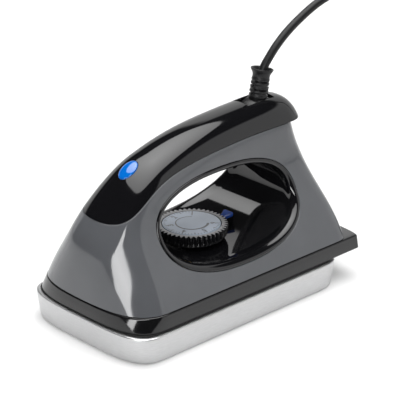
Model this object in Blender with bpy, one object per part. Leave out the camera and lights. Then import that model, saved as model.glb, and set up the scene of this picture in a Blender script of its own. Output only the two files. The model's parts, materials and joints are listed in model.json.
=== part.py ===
"""Ski and snowboard waxing iron: an adjustable electric iron with a thick flat sole.

The nose points to -Y, +Z is up, and the part is symmetric about X = 0 apart from its dial scale and its cord.
The origin is on the surface that the iron stands on, under the middle of the iron without its cord.
All lengths in this file are millimetres until solid() writes them as metres.
"""
import math

import bmesh
import bpy
import numpy as np
from mathutils import Matrix, Vector

MM = 0.001
GAP = 0.3                    # clearance between neighbouring solids

# ---- driving dimensions -------------------------------------------------------------------------
SOLE_FRONT, SOLE_REAR = -82.0, 68.0
SOLE_HALF_WIDTH = 45.0
SOLE_TOP = 15.3
SOLE_TAPER = 1.2             # the sole is this much narrower all round at its underside
SOLE_CORNER, SOLE_POWER = 21.0, 3.8
SKIRT_BOTTOM, SKIRT_TOP = 16.4, 24.0
LEDGE_REAR = 82.0
BASE_Z = SKIRT_TOP + GAP     # lower edge of the grey shell
WALL = 2.2
CENTRE_Z = 55.0              # middle of the finger opening, on X = 0, Y = 0
OPENING_HALF_LENGTH, OPENING_HALF_HEIGHT, OPENING_POWER = 49.2, 23.6, 2.3
LINER_THICKNESS = 2.5
ROW_BUNCHING = 2.4           # how closely the skins' rows crowd towards their far edges
NOSE_DEPTH, REAR_DEPTH, CROWN_DEPTH = 24.5, 15.0, 18.0
COVER_OVERHANG = 7.0
NOSE_Y = ((24, -80.3), (45, -79.0), (65, -72.5), (80, -62.0), (95, -60.0))
REAR_Y = ((24, 78.5), (38, 77.0), (52, 73.0), (68, 66.8), (85, 61.3), (100, 61.0))
CROWN_Z = (
    (-82, 60.5), (-62, 80.0), (-47, 87.0), (-27, 93.7), (-7, 98.0),
    (13, 100.0), (33, 101.1), (51, 100.9), (65, 98.0),
)
SQUARENESS = ((24, 2.85), (34, 2.6), (46, 2.42), (60, 2.4), (100, 2.4))      # of the rounded edges, by height
HALF_WIDTH = ((24, 41.8), (34, 36.8), (46, 29.5), (60, 21.5), (76, 17.4), (100, 14.5))
COVER_EDGE = (
    (-71, 64.3), (-65, 65.6), (-55, 70.4), (-43, 77.6), (-27, 83.0), (-7, 86.0), (23, 88.1), (60, 88.0),
)

DIAL_Y = -4.3
DIAL_RADIUS, DIAL_TEETH = 19.3, 36
DIAL_BOTTOM, DIAL_TOP = 36.2, 43.0
FACE_RADIUS = 15.8
SPINDLE_RADIUS = 2.7
LENS_Y, LENS_Z, LENS_SLOPE = -48.0, 85.3, 33.4
LENS_LENGTH, LENS_WIDTH = 12.3, 9.0
SLOT_FRONT, SLOT_BACK, SLOT_HALF_WIDTH = 31.0, 50.9, 5.5
SWIVEL_Y, SWIVEL_Z, SWIVEL_RADIUS = 42.0, 90.3, 10.3
SLEEVE_LEAN = 11.0           # degrees towards +Y at rest
SLEEVE_START, SLEEVE_END = 6.0, 26.1
CORD_DIAMETER = 4.5
CORD_EXIT = 22.4             # from the swivel's axis along the sleeve
MOUTH_FLOOR = CORD_EXIT - 1.0
COIL_X, COIL_Y = 14.0, 196.0
COIL_INNER, COIL_OUTER = 14.0, 27.0
COIL_LAYERS = 4
TIE_WIDTH, TIE_THICKNESS = 8.0, 0.7
COIL_BOTTOM = 0.1 + TIE_THICKNESS + GAP      # the coil lies on the tie that holds it
COIL_TOP = COIL_BOTTOM + COIL_LAYERS * CORD_DIAMETER
CORD_ROUTE = (
    (0.0, 48.0, 116.0), (0.0, 51.2, 119.8), (0.0, 55.4, 124.1), (0.0, 60.3, 128.2), (0.2, 66.5, 132.7),
    (1.0, 75.0, 138.0), (2.5, 85.0, 143.5), (6.0, 98.0, 148.5), (11.0, 111.0, 150.5), (17.0, 124.0, 147.5),
    (23.0, 136.0, 140.0), (28.5, 146.8, 127.0), (32.5, 155.3, 109.0), (35.5, 161.5, 89.0),
    (37.7, 165.8, 68.0), (39.3, 169.0, 50.0), (40.5, 172.2, 35.5), (41.0, 176.0, 27.0), (41.0, 181.0, 21.8),
)
TAIL_ANGLE = 60.0            # where round the coil the plug's end leaves it, degrees from +X
TIE_ANGLE = 150.0            # where round the coil the tie is
TAIL_LENGTH = 30.0           # from the coil's last turn to the plug
TAIL_CLEAR = 17.0            # how far along that the tail is clear of the coil
PLUG_LENGTH, PLUG_WIDTH, PLUG_HEIGHT = 30.0, 25.0, 22.0
PLUG_REAR_Z = 9.6            # height of the cord where it enters the plug
BLADE_SPREAD, BLADE_RISE, EARTH_DROP = 6.35, 5.0, 6.8

SHELL_ROWS = 7
COVER_ROWS = 6
LINER_STEPS = 56

for old in list(bpy.data.objects):
    bpy.data.objects.remove(old, do_unlink=True)


# ---- materials ----------------------------------------------------------------------------------
def material(name, colour, roughness, metallic=0.0):
    made = bpy.data.materials.new(name)
    made.use_nodes = True
    shader = made.node_tree.nodes["Principled BSDF"]
    shader.inputs["Base Color"].default_value = (*colour, 1.0)
    shader.inputs["Roughness"].default_value = roughness
    shader.inputs["Metallic"].default_value = metallic
    return made


ALUMINIUM = material("brushed_aluminium", (0.72, 0.73, 0.74), 0.32, 1.0)
GREY_SHELL = material("grey_gloss_plastic", (0.145, 0.15, 0.16), 0.12)
BLACK_GLOSS = material("black_gloss_plastic", (0.006, 0.006, 0.007), 0.08)
DARK_SATIN = material("dark_satin_plastic", (0.02, 0.02, 0.022), 0.3)
DIAL_BLACK = material("dial_black", (0.01, 0.01, 0.011), 0.35)
DIAL_PALE = material("dial_pale_blue", (0.42, 0.52, 0.64), 0.3)
BLUE = material("pointer_blue", (0.03, 0.08, 0.45), 0.3)
LENS_BLUE = material("lens_blue", (0.02, 0.22, 0.85), 0.05)
RUBBER = material("cord_rubber", (0.02, 0.02, 0.021), 0.5)
STEEL = material("spring_steel", (0.55, 0.55, 0.56), 0.3, 1.0)
BRASS = material("contact_brass", (0.72, 0.5, 0.2), 0.3, 1.0)
CERAMIC = material("ceramic", (0.8, 0.78, 0.72), 0.5)
BOARD = material("board_green", (0.03, 0.2, 0.08), 0.4)
FIBRE = material("gasket_fibre", (0.015, 0.015, 0.015), 0.9)


# ---- making solids ------------------------------------------------------------------------------
def solid(name, bm, look, pivot=(0, 0, 0), smooth_angle=40.0):
    """Writes a bmesh in millimetres as an object in metres, with its origin at pivot."""
    bmesh.ops.remove_doubles(bm, verts=bm.verts, dist=0.01)
    bmesh.ops.dissolve_degenerate(bm, edges=bm.edges, dist=0.001)
    bmesh.ops.recalc_face_normals(bm, faces=bm.faces)
    origin = Vector(pivot)
    bmesh.ops.transform(bm, verts=bm.verts, matrix=Matrix.Scale(MM, 4) @ Matrix.Translation(-origin))
    mesh = bpy.data.meshes.new(name)
    bm.to_mesh(mesh)
    bm.free()
    mesh.materials.append(look)
    mesh.shade_smooth()
    mesh.set_sharp_from_angle(angle=math.radians(smooth_angle))
    made = bpy.data.objects.new(name, mesh)
    made.location = origin * MM
    bpy.context.scene.collection.objects.link(made)
    return made


def loft(rings, closed=False, bm=None):
    """Rings of the same number of points, joined in order; the ends are capped unless the rings close up."""
    bm = bm or bmesh.new()
    rows = [[bm.verts.new(p) for p in ring] for ring in rings]
    count = len(rows[0])
    pairs = list(zip(rows, rows[1:]))
    if closed:
        pairs.append((rows[-1], rows[0]))
    for low, high in pairs:
        for i in range(count):
            k = (i + 1) % count
            bm.faces.new((low[i], low[k], high[k], high[i]))
    if not closed:
        bm.faces.new(rows[0][::-1])
        bm.faces.new(rows[-1])
    return bm


def box(low, high, place=Matrix.Identity(4)):
    x0, y0, z0 = low
    x1, y1, z1 = high
    outline = ((x0, y0), (x1, y0), (x1, y1), (x0, y1))
    return loft([[place @ Vector((x, y, z)) for x, y in outline] for z in (z0, z1)])


def turned(profile, sides, place=Matrix.Identity(4), bore=False):
    """Turns (radius, height) pairs about local Z; with a bore the profile closes on itself."""
    angles = [2 * math.pi * i / sides for i in range(sides)]
    rings = [[place @ Vector((r * math.cos(a), r * math.sin(a), z)) for a in angles] for r, z in profile]
    return loft(rings, closed=bore)


def sweep(points, radius, sides=8):
    """A round bar along a path, with its section carried along without twist."""
    points = [Vector(p) for p in points]
    behind, beyond = points[:1] + points[:-1], points[1:] + points[-1:]
    ahead = [(b - a).normalized() for a, b in zip(behind, beyond)]
    side = ahead[0].orthogonal().normalized()
    rings = []
    for point, direction in zip(points, ahead):
        side = (side - direction * side.dot(direction)).normalized()
        other = direction.cross(side)
        angles = [2 * math.pi * k / sides for k in range(sides)]
        rings.append([point + radius * (side * math.cos(a) + other * math.sin(a)) for a in angles])
    return loft(rings)


def cut(target, name, bm):
    """Takes a cutter's shape out of a solid."""
    tool = solid(name, bm, FIBRE)
    tool.hide_render = True
    tool.display_type = "WIRE"
    step = target.modifiers.new(name, "BOOLEAN")
    step.operation = "DIFFERENCE"
    step.solver = "EXACT"
    step.object = tool
    return target


def upright(x, y, z):
    return Matrix.Translation((x, y, z))


def along_x(x, y, z):
    return Matrix.Translation((x, y, z)) @ Matrix.Rotation(math.radians(90), 4, "Y")


def screw(name, place, length=9.0, head=2.6, shank=1.35):
    profile = (
        (0.01, -length), (shank, -length + 0.8), (shank, 0),
        (head, 0), (head, 1.1), (head * 0.7, 1.7), (0.01, 1.7),
    )
    return solid(name, turned(profile, 10, place), STEEL)


# ---- the body's surface -------------------------------------------------------------------------
def smooth(x, knots):
    """A natural cubic spline through (x, value) knots, level outside them."""
    xs, values = np.array(knots, float).T
    step = np.diff(xs)
    matrix = np.diag(2 * (step[:-1] + step[1:])) + np.diag(step[1:-1], 1) + np.diag(step[1:-1], -1)
    inner = np.linalg.solve(matrix, 6 * np.diff(np.diff(values) / step))
    bend = np.concatenate([[0.0], inner, [0.0]])
    x = np.clip(np.asarray(x, float), xs[0], xs[-1])
    i = np.clip(np.searchsorted(xs, x) - 1, 0, len(xs) - 2)
    span, before, after = step[i], x - xs[i], xs[i + 1] - x
    straight = (values[i] * after + values[i + 1] * before) / span
    lift = bend[i] * (after ** 3 / span - span * after) + bend[i + 1] * (before ** 3 / span - span * before)
    return straight + lift / 6


def fullness(y, z, inset=0.0, overhang=0.0):
    """1 on the flat of the flank, falling to 0 at the body's outline and below 0 outside it."""
    nose = 1 - (y - smooth(z, NOSE_Y) - inset) / NOSE_DEPTH
    rear = 1 - (smooth(z, REAR_Y) + overhang - inset - y) / REAR_DEPTH
    crown = 1 - (smooth(y, CROWN_Z) - inset - z) / CROWN_DEPTH
    return 1 - sum(np.maximum(edge, 0) ** smooth(z, SQUARENESS) for edge in (nose, rear, crown))


def flank_x(y, z, inset=0.0, overhang=0.0):
    """Half the body's width at (y, z)."""
    full = np.maximum(fullness(y, z, inset, overhang), 0)
    return (smooth(z, HALF_WIDTH) - inset) * full ** (1 / smooth(z, SQUARENESS))


def opening(turn, inset=0.0):
    """A point of the finger opening's outline; turn runs once round from +Y through +Z."""
    c, s = np.cos(turn), np.sin(turn)
    grow = 2 / OPENING_POWER
    y = (OPENING_HALF_LENGTH - inset) * np.sign(c) * np.abs(c) ** grow
    z = (OPENING_HALF_HEIGHT - inset) * np.sign(s) * np.abs(s) ** grow
    return y, CENTRE_Z + z


def in_shell(inset):
    def inside(y, z):
        return (fullness(y, z, inset) > 0) & (z > BASE_Z) & (z < smooth(y, COVER_EDGE) - GAP / 2)
    return inside


def in_body(inset, overhang):
    def inside(y, z):
        return fullness(y, z, inset, overhang) > 0
    return inside


def below_cover(y, z):
    return z < smooth(y, COVER_EDGE) + GAP / 2


def reach(turn, inside):
    """How far the ray from the opening's middle through outline point turn stays inside, in outline radii."""
    y, z = opening(turn)
    low, high = np.full(np.shape(turn), 0.5), np.full(np.shape(turn), 4.0)
    for _ in range(40):
        middle = (low + high) / 2
        ok = inside(y * middle, CENTRE_Z + (z - CENTRE_Z) * middle)
        low, high = np.where(ok, middle, low), np.where(ok, high, middle)
    return low


def turn_at(y, z):
    """The turn whose ray passes through (y, z)."""
    rise, run = [
        math.copysign(abs(share) ** (OPENING_POWER / 2), share)
        for share in ((z - CENTRE_Z) / OPENING_HALF_HEIGHT, y / OPENING_HALF_LENGTH)
    ]
    return math.atan2(rise, run) % (2 * math.pi)


def cover_ends(inset, overhang):
    """Where the cover's lower edge meets the outline: (nose point, rear point)."""
    ends = []
    for low, high in ((-40.0, -90.0), (30.0, 90.0)):
        for _ in range(40):
            middle = (low + high) / 2
            inside = fullness(middle, float(smooth(middle, COVER_EDGE)), inset, overhang) > 0
            low, high = (middle, high) if inside else (low, middle)
        ends.append((low, float(smooth(low, COVER_EDGE))))
    return ends


def skin(turns, near, far, seam, rows, inset, overhang=0.0):
    """Rows of points from outline radius near to far along each ray, bunched towards far.

    Where seam is true the far point lies on X = 0, where the two halves meet.
    """
    y, z = opening(turns)
    spread = np.linspace(1, 0, rows) ** ROW_BUNCHING
    radius = far[:, None] - (far - near)[:, None] * spread[None]
    ys, zs = y[:, None] * radius, CENTRE_Z + (z - CENTRE_Z)[:, None] * radius
    xs = flank_x(ys, zs, inset, overhang)
    xs[seam, -1] = 0.0
    return np.stack([xs, ys, zs], -1)


def hollow_skin(name, outer, inner, look, closed):
    """A wall between two skins and their mirror images, closed along the edges that lie off X = 0."""
    bm = bmesh.new()
    count, rows = outer.shape[:2]
    steps = range(count if closed else count - 1)
    for side in (1, -1):
        for grid in (outer, inner):
            for i in steps:
                k = (i + 1) % count
                for j in range(rows - 1):
                    add_face(bm, [grid[i, j], grid[k, j], grid[k, j + 1], grid[i, j + 1]], side)
        for i in steps:
            k = (i + 1) % count
            for j in (0, rows - 1):
                if outer[i, j, 0] > 0 or outer[k, j, 0] > 0:
                    add_face(bm, [outer[i, j], outer[k, j], inner[k, j], inner[i, j]], side)
    return solid(name, bm, look)


def add_face(bm, corners, side):
    """A face from corner points, leaving out repeated corners."""
    kept = []
    for x, y, z in corners:
        point = Vector((side * x, y, z))
        if all((point - other).length > 0.01 for other in kept):
            kept.append(point)
    if len(kept) > 2:
        bm.faces.new([bm.verts.new(p) for p in kept])


def bunched(low, high, count):
    """count steps from low towards high, shorter at both ends."""
    return low + (high - low) * (1 - np.cos(np.pi * np.arange(count) / count)) / 2


SHELL_SPANS = (11, 30, 8, 21)           # rays up the rear, under the cover, down the nose, along the base


def shell_turns(inset):
    """Ray directions for the shell, with one exactly at each corner of its outline."""
    nose_end, rear_end = cover_ends(inset, 0.0)
    corners = (
        turn_at(float(smooth(BASE_Z, REAR_Y)) - inset, BASE_Z) - 2 * math.pi,
        turn_at(rear_end[0], rear_end[1] - GAP / 2),
        turn_at(nose_end[0], nose_end[1] - GAP / 2),
        turn_at(float(smooth(BASE_Z, NOSE_Y)) + inset, BASE_Z),
    )
    spans = zip(corners, corners[1:] + (corners[0] + 2 * math.pi,), SHELL_SPANS)
    return np.concatenate([bunched(low, high, count) for low, high, count in spans])


def shell_seam():
    """True on the rays whose far end is on the rear column's or the nose's middle line."""
    rear, cover, nose, base = SHELL_SPANS
    return np.array([True] * (rear + 1) + [False] * (cover - 1) + [True] * (nose + 1) + [False] * (base - 1))


def cover_turns(inset, overhang):
    """Ray directions for the cover, closer together at its two ends."""
    nose_end, rear_end = cover_ends(inset, overhang)
    low, high = [turn_at(y, z + GAP / 2) for y, z in (rear_end, nose_end)]
    return np.append(bunched(low, high, 34), high)


# ---- outer pieces -------------------------------------------------------------------------------
def plan_ring(front, rear, half_width, z, front_depth, rear_depth, power, steps=8):
    """A rounded rectangle in plan at height z."""
    grow = 2 / power
    quarter = [math.pi / 2 * i / steps for i in range(steps + 1)]
    side = [(half_width * math.sin(a) ** grow, 1 - math.cos(a) ** grow) for a in quarter]
    right = [(x, front + front_depth * d) for x, d in side]
    right += [(x, rear - rear_depth * d) for x, d in side[::-1]]
    return [Vector((x, y, z)) for x, y in right + [(-x, y) for x, y in right[-2:0:-1]]]


def sole_ring(z, inset, corner=SOLE_CORNER):
    return plan_ring(
        SOLE_FRONT + inset, SOLE_REAR - inset, SOLE_HALF_WIDTH - inset, z, corner, corner, SOLE_POWER
    )


def element_path(y_end, z):
    """The U of the heating element, open towards the heel."""
    radius, bend_y = 26.0, -34.0
    arc = [math.pi * i / 12 for i in range(13)]
    bend = [(radius * math.cos(a), bend_y - radius * math.sin(a), z) for a in arc]
    return [(radius, y_end, z), (radius, 10.0, z), *bend, (-radius, 10.0, z), (-radius, y_end, z)]


ELEMENT_Z = 12.2


def make_soleplate():
    rings = [
        sole_ring(0.0, SOLE_TAPER + 2.6),
        sole_ring(0.8, SOLE_TAPER + 0.8),
        sole_ring(2.8, SOLE_TAPER),
        sole_ring(SOLE_TOP - 0.7, 0.0),
        sole_ring(SOLE_TOP, 0.7),
    ]
    sole = solid("soleplate", loft(rings), ALUMINIUM)
    cut(sole, "element_groove", sweep(element_path(58.0, ELEMENT_Z), 3.8, 10))
    for number, (x, y) in enumerate(SOLE_SCREWS):
        cut(sole, f"sole_screw_hole_{number}", turned(((1.7, -9.0), (1.7, 2.0)), 10, upright(x, y, SOLE_TOP)))
    return sole


def make_heating_element():
    solid("heating_element", sweep(element_path(46.0, ELEMENT_Z), 3.3, 8), STEEL)
    for name, x in (("element_pin_right", 26.0), ("element_pin_left", -26.0)):
        solid(name, sweep([(x, 46.0 + GAP, ELEMENT_Z), (x, 56.0, ELEMENT_Z)], 1.5, 8), BRASS)


def make_sole_gasket():
    z0, z1 = SOLE_TOP + GAP, SKIRT_BOTTOM - GAP
    rings = [sole_ring(z0, 1.6), sole_ring(z1, 1.6), sole_ring(z1, 5.0), sole_ring(z0, 5.0)]
    return solid("sole_gasket", loft(rings, closed=True), FIBRE)


SOLE_SCREWS = ((34.0, -30.0), (-34.0, -30.0), (34.0, 40.0), (-34.0, 40.0))


def make_base_skirt():
    rings = [
        plan_ring(-80.9, LEDGE_REAR - 0.6, 42.9, SKIRT_BOTTOM, 22.0, 4.0, 3.3),
        plan_ring(-81.1, LEDGE_REAR, 43.2, SKIRT_BOTTOM + 0.6, 22.0, 4.0, 3.3),
        plan_ring(-80.5, LEDGE_REAR, 42.1, SKIRT_TOP - 0.3, 24.0, 4.0, 2.85),
        plan_ring(-80.2, LEDGE_REAR - 0.3, 41.8, SKIRT_TOP, 24.2, 4.0, 2.85),
    ]
    skirt = solid("base_skirt", loft(rings), BLACK_GLOSS)
    pocket = [plan_ring(-76.5, 62.0, 38.6, z, 20.0, 16.0, 2.6) for z in (SKIRT_BOTTOM - 2, SKIRT_TOP - 2.6)]
    cut(skirt, "skirt_pocket", loft(pocket))
    cut(skirt, "thermostat_window", box((-20, -32, 18), (20, 24, 27)))
    cut(skirt, "wire_window", box((-17, 34, 18), (17, 58, 27)))
    for number, (x, y) in enumerate(SOLE_SCREWS):
        hole = turned(((1.7, -6.0), (1.7, 6.0)), 10, upright(x, y, SKIRT_TOP))
        cut(skirt, f"skirt_screw_hole_{number}", hole)
    return skirt


def make_body_shell():
    grids = []
    for inset in (0.0, WALL):
        turns = shell_turns(inset)
        far = reach(turns, in_shell(inset))
        grids.append(skin(turns, np.ones(len(turns)), far, shell_seam(), SHELL_ROWS, inset))
    return hollow_skin("body_shell", *grids, GREY_SHELL, closed=True)


def make_top_cover():
    grids = []
    for inset in (0.0, WALL):
        turns = cover_turns(inset, COVER_OVERHANG)
        far = reach(turns, in_body(inset, COVER_OVERHANG))
        near = np.minimum(reach(turns, below_cover), far)
        near[[0, -1]] = far[[0, -1]]
        seam = np.full(len(turns), True)
        grids.append(skin(turns, near, far, seam, COVER_ROWS, inset, COVER_OVERHANG))
    cover = hollow_skin("top_cover", *grids, BLACK_GLOSS, closed=False)
    cut(cover, "lens_hole", oval(LENS_LENGTH / 2 + GAP, LENS_WIDTH / 2 + GAP, ((1.0, -7.0), (1.0, 6.0))))
    low, high = (-SLOT_HALF_WIDTH, SLOT_FRONT, 94), (SLOT_HALF_WIDTH, SLOT_BACK, 106)
    cut(cover, "cord_slot", box(low, high))
    return cover


def make_handle_liner():
    """The gloss tunnel through the handle, with a rolled rim on both flanks."""
    turns = np.linspace(0, 2 * math.pi, LINER_STEPS, endpoint=False)
    roll = (        # inset from the opening's outline, depth below the flank
        (GAP, 0.9), (0.7, 0.2), (1.4, 0.0), (2.1, 0.5), (LINER_THICKNESS, 1.6),
    )
    rings = []
    for side in (1, -1):
        for inset, depth in roll[:: side]:
            y, z = opening(turns, inset)
            x = side * (flank_x(y, z) - depth)
            rings.append([Vector(p) for p in zip(x, y, z)])
    liner = solid("handle_liner", loft(rings, closed=True), BLACK_GLOSS)
    cut(liner, "spindle_hole", turned(((4.3, 28.0), (4.3, 38.0)), 20, upright(0, DIAL_Y, 0)))
    return liner


def lens_place():
    """Local X across, local Y up the crown, local Z out of the cover at the lens."""
    return Matrix.Translation((0, LENS_Y, LENS_Z)) @ Matrix.Rotation(math.radians(LENS_SLOPE), 4, "X")


def oval(half_length, half_width, profile, sides=24):
    """An oval turned along the lens's axis; profile is (share of full size, height)."""
    stretch = Matrix.Diagonal((half_width, half_length, 1, 1))
    return turned(profile, sides, lens_place() @ stretch)


def make_indicator():
    dome = ((0.97, -3.0), (1.0, -2.6), (1.0, -0.5), (0.86, 0.15), (0.6, 0.6), (0.3, 0.85), (0.01, 0.95))
    solid("indicator_lens", oval(LENS_LENGTH / 2, LENS_WIDTH / 2, dome), LENS_BLUE)
    solid("indicator_board", box((-5, -7, -9.2), (5, 7, -8.2), lens_place()), BOARD)
    bulb = ((0.01, -7.9), (2.5, -7.9), (2.5, -5.2), (1.8, -4.0), (0.01, -3.4))
    solid("indicator_lamp", turned(bulb, 12, lens_place()), LENS_BLUE)


def floor_z(y):
    """Height of the tunnel's floor on X = 0."""
    share = abs(y) / (OPENING_HALF_LENGTH - LINER_THICKNESS)
    depth = OPENING_HALF_HEIGHT - LINER_THICKNESS
    return CENTRE_Z - depth * (1 - share ** OPENING_POWER) ** (1 / OPENING_POWER)


def make_pointer():
    plan = ((-3.4, 23.4), (-0.7, 15.9), (0.7, 15.9), (3.4, 23.4))
    tops = (41.6, 39.2, 39.2, 41.6)
    foot = [Vector((x, y, floor_z(y) + GAP)) for x, y in plan]
    head = [Vector((x, y, z)) for (x, y), z in zip(plan, tops)]
    return solid("dial_pointer", loft([foot, head]), BLUE)


# ---- dial and thermostat ------------------------------------------------------------------------
def make_dial():
    pivot = (0, DIAL_Y, DIAL_BOTTOM)
    sides = DIAL_TEETH * 2
    hub = SPINDLE_RADIUS + GAP
    profile = (        # radius, height, depth of the teeth
        (hub, DIAL_BOTTOM, 0), (17.2, DIAL_BOTTOM, 0), (17.5, 36.6, 0), (18.4, 36.8, 0), (18.6, 37.4, 0.5),
        (DIAL_RADIUS, 41.2, 0.9), (FACE_RADIUS + 1.0, DIAL_TOP - 0.4, 0.5),
        (FACE_RADIUS + GAP, DIAL_TOP - 0.4, 0), (FACE_RADIUS + GAP, DIAL_TOP - 1.6, 0),
        (hub, DIAL_TOP - 1.6, 0),
    )
    rings = []
    for radius, z, tooth in profile:
        ring = []
        for i in range(sides):
            r = radius - tooth * (i % 2)
            angle = 2 * math.pi * i / sides
            ring.append(Vector((r * math.cos(angle), DIAL_Y + r * math.sin(angle), z)))
        rings.append(ring)
    solid("dial_knob", loft(rings, closed=True), DIAL_BLACK, pivot)
    under, rim = DIAL_TOP - 1.3, DIAL_TOP - 0.3
    edge = FACE_RADIUS - 0.5
    face = ((0.01, under), (FACE_RADIUS, under), (FACE_RADIUS, rim), (edge, DIAL_TOP), (0.01, DIAL_TOP))
    solid("dial_face", turned(face, 40, upright(0, DIAL_Y, 0)), DIAL_PALE, pivot)
    end = DIAL_TOP - 1.7
    shaft = ((0.01, 24.5), (1.6, 24.6), (SPINDLE_RADIUS, 25.4), (SPINDLE_RADIUS, end), (0.01, end))
    solid("dial_spindle", turned(shaft, 16, upright(0, DIAL_Y, 0)), BRASS, pivot)
    clip_angles = [math.radians(25 + 310 * i / 14) for i in range(15)]
    clip_edge = [(4.4, a) for a in clip_angles] + [(SPINDLE_RADIUS + GAP, a) for a in clip_angles[::-1]]
    outline = [(r * math.cos(a), DIAL_Y + r * math.sin(a)) for r, a in clip_edge]
    clip = loft([[Vector((x, y, z)) for x, y in outline] for z in (25.0, 25.7)])
    solid("spindle_clip", clip, STEEL, pivot)


STACK_Y = 12.0


def make_thermostat():
    """A creep-action thermostat: strips and ceramic rings riveted in a stack, worked by the spindle above."""
    place = upright(0, STACK_Y, 0)
    strips = (
        ("thermostat_base", (-6, -14, 15.7), (6, 18, 16.9), STEEL),
        ("bimetal_strip", (-3.5, -12, 17.2), (3.5, 16, 17.9), BRASS),
        ("contact_blade_lower", (-2.5, -10, 20.4), (2.5, 20, 20.8), BRASS),
        ("contact_blade_upper", (-2.5, -9, 23.3), (2.5, 22, 23.7), BRASS),
        ("thermostat_bridge", (-6, -10, 26.1), (6, 18, 27.3), STEEL),
    )
    for name, low, high, look in strips:
        strip = solid(name, box(low, high), look)
        cut(strip, name + "_rivet_hole", turned(((1.5, 14.0), (1.5, 30.0)), 12, place))
        if name == "thermostat_bridge":
            cut(strip, "bridge_bore", turned(((3.3, 20.0), (3.3, 30.0)), 16, upright(0, DIAL_Y, 0)))
    rings = (
        ("ceramic_ring_lower", 18.2, 20.1),
        ("ceramic_ring_middle", 21.1, 23.0),
        ("ceramic_ring_upper", 24.0, 25.8),
    )
    for name, z0, z1 in rings:
        solid(name, turned(((1.5, z0), (4.5, z0), (4.5, z1), (1.5, z1)), 16, place, bore=True), CERAMIC)
    rivet = ((0.01, 15.6), (1.2, 15.6), (1.2, 27.6), (2.6, 27.6), (2.2, 28.6), (0.01, 28.9))
    solid("thermostat_rivet", turned(rivet, 12, place), BRASS)
    bush = ((SPINDLE_RADIUS + GAP, 27.6), (3.9, 27.6), (3.9, 30.6), (SPINDLE_RADIUS + GAP, 30.6))
    solid("spindle_bush", turned(bush, 20, upright(0, DIAL_Y, 0), bore=True), BRASS)


# ---- wiring -------------------------------------------------------------------------------------
def make_wiring():
    solid("terminal_block", box((-13, 40, 17.8), (13, 50, 27.0)), CERAMIC)
    fuse = ((0.01, 0), (2.2, 0.4), (2.2, 11.6), (0.01, 12))
    along_y = Matrix.Translation((-16, 30, 18.4)) @ Matrix.Rotation(math.radians(90), 4, "X")
    solid("thermal_fuse", turned(fuse, 12, along_y), STEEL)
    tag = solid("earth_tag", box((20, 44, 15.6), (27, 58, 16.2)), BRASS)
    cut(tag, "earth_tag_hole", turned(((1.7, 14.0), (1.7, 18.0)), 12, upright(22.5, 54, 0)))
    lead_ends = (("live_lead", -7.0, 1.1), ("neutral_lead", 7.0, 1.1), ("earth_lead", 0.0, 1.1))
    for name, x, radius in lead_ends:
        path = [
            (x, 46, 28.0), (x, 50, 33), (x * 0.9, 55, 40), (x * 0.7, 57, 50), (x * 0.6, 55.5, 62),
            (x * 0.5, 51.5, 68), (x * 0.5, 48, 72.5),
        ]
        solid(name, sweep(fine(path, 14), radius, 6), RUBBER)
    lamp_path = [
        (9.5, 30, 84), (9.8, 10, 83.5), (9.8, -10, 82), (8.5, -26, 79.5), (5.5, -36, 76), (2.5, -44, 75),
    ]
    solid("lamp_lead", sweep(fine(lamp_path, 12), 0.9, 6), RUBBER)


def fine(knots, count):
    """Evenly spread points on a smooth curve through knots."""
    knots = np.array(knots, float)
    along = np.concatenate([[0], np.cumsum(np.linalg.norm(np.diff(knots, axis=0), axis=1))])
    places = np.linspace(0, along[-1], count)
    return np.stack([smooth(places, list(zip(along, knots[:, axis]))) for axis in range(3)], 1)


def make_cord_clamp():
    solid("cord_clamp", box((-7.5, 42.0, 73.6), (7.5, 50.0, 76.6)), DARK_SATIN)
    for name, x in (("clamp_screw_right", 5.0), ("clamp_screw_left", -5.0)):
        screw(name, upright(x, 46.0, 76.6 + GAP), length=0.1, head=2.0, shank=1.0)


# ---- cord swivel --------------------------------------------------------------------------------
def sleeve_place():
    return Matrix.Translation((0, SWIVEL_Y, SWIVEL_Z)) @ Matrix.Rotation(math.radians(-SLEEVE_LEAN), 4, "X")


def make_swivel():
    pivot = (0, SWIVEL_Y, SWIVEL_Z)
    half, pin, pin_end = SLOT_HALF_WIDTH - 0.4, 2.2, 9.0
    drum = (
        (0.01, -pin_end), (pin, -pin_end), (pin, -half),
        (SWIVEL_RADIUS - 0.4, -half), (SWIVEL_RADIUS, -half + 0.4),
        (SWIVEL_RADIUS, half - 0.4), (SWIVEL_RADIUS - 0.4, half),
        (pin, half), (pin, pin_end), (0.01, pin_end),
    )
    barrel = solid("swivel_barrel", turned(drum, 36, along_x(*pivot)), DARK_SATIN, pivot)
    cut(barrel, "sleeve_socket", turned(((4.8, SLEEVE_START - GAP), (4.8, 14.0)), 16, sleeve_place()))
    profile = (
        (0.01, SLEEVE_START), (4.3, SLEEVE_START), (4.5, 10.5), (4.6, 12.0), (4.2, 12.6), (4.2, 14.2),
        (4.5, 14.8), (4.45, 16.0), (4.1, 16.6), (4.1, 17.8), (4.4, 18.4), (4.35, 19.6), (4.1, 20.2),
        (4.2, 21.4), (4.7, 23.2), (5.7, 25.0), (5.9, 25.8), (5.6, SLEEVE_END),
        (5.2, 25.8), (4.1, 23.8), (3.5, MOUTH_FLOOR), (0.01, MOUTH_FLOOR),
    )
    solid("strain_relief", turned(profile, 20, sleeve_place()), RUBBER, pivot)
    for name, x in (("swivel_saddle_right", 6.0), ("swivel_saddle_left", -8.8)):
        saddle = solid(name, box((x, 37, 84.5), (x + 2.8, 47, 93.5)), DARK_SATIN)
        cut(saddle, name + "_bore", turned(((2.6, -12.0), (2.6, 12.0)), 16, along_x(*pivot)))


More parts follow.
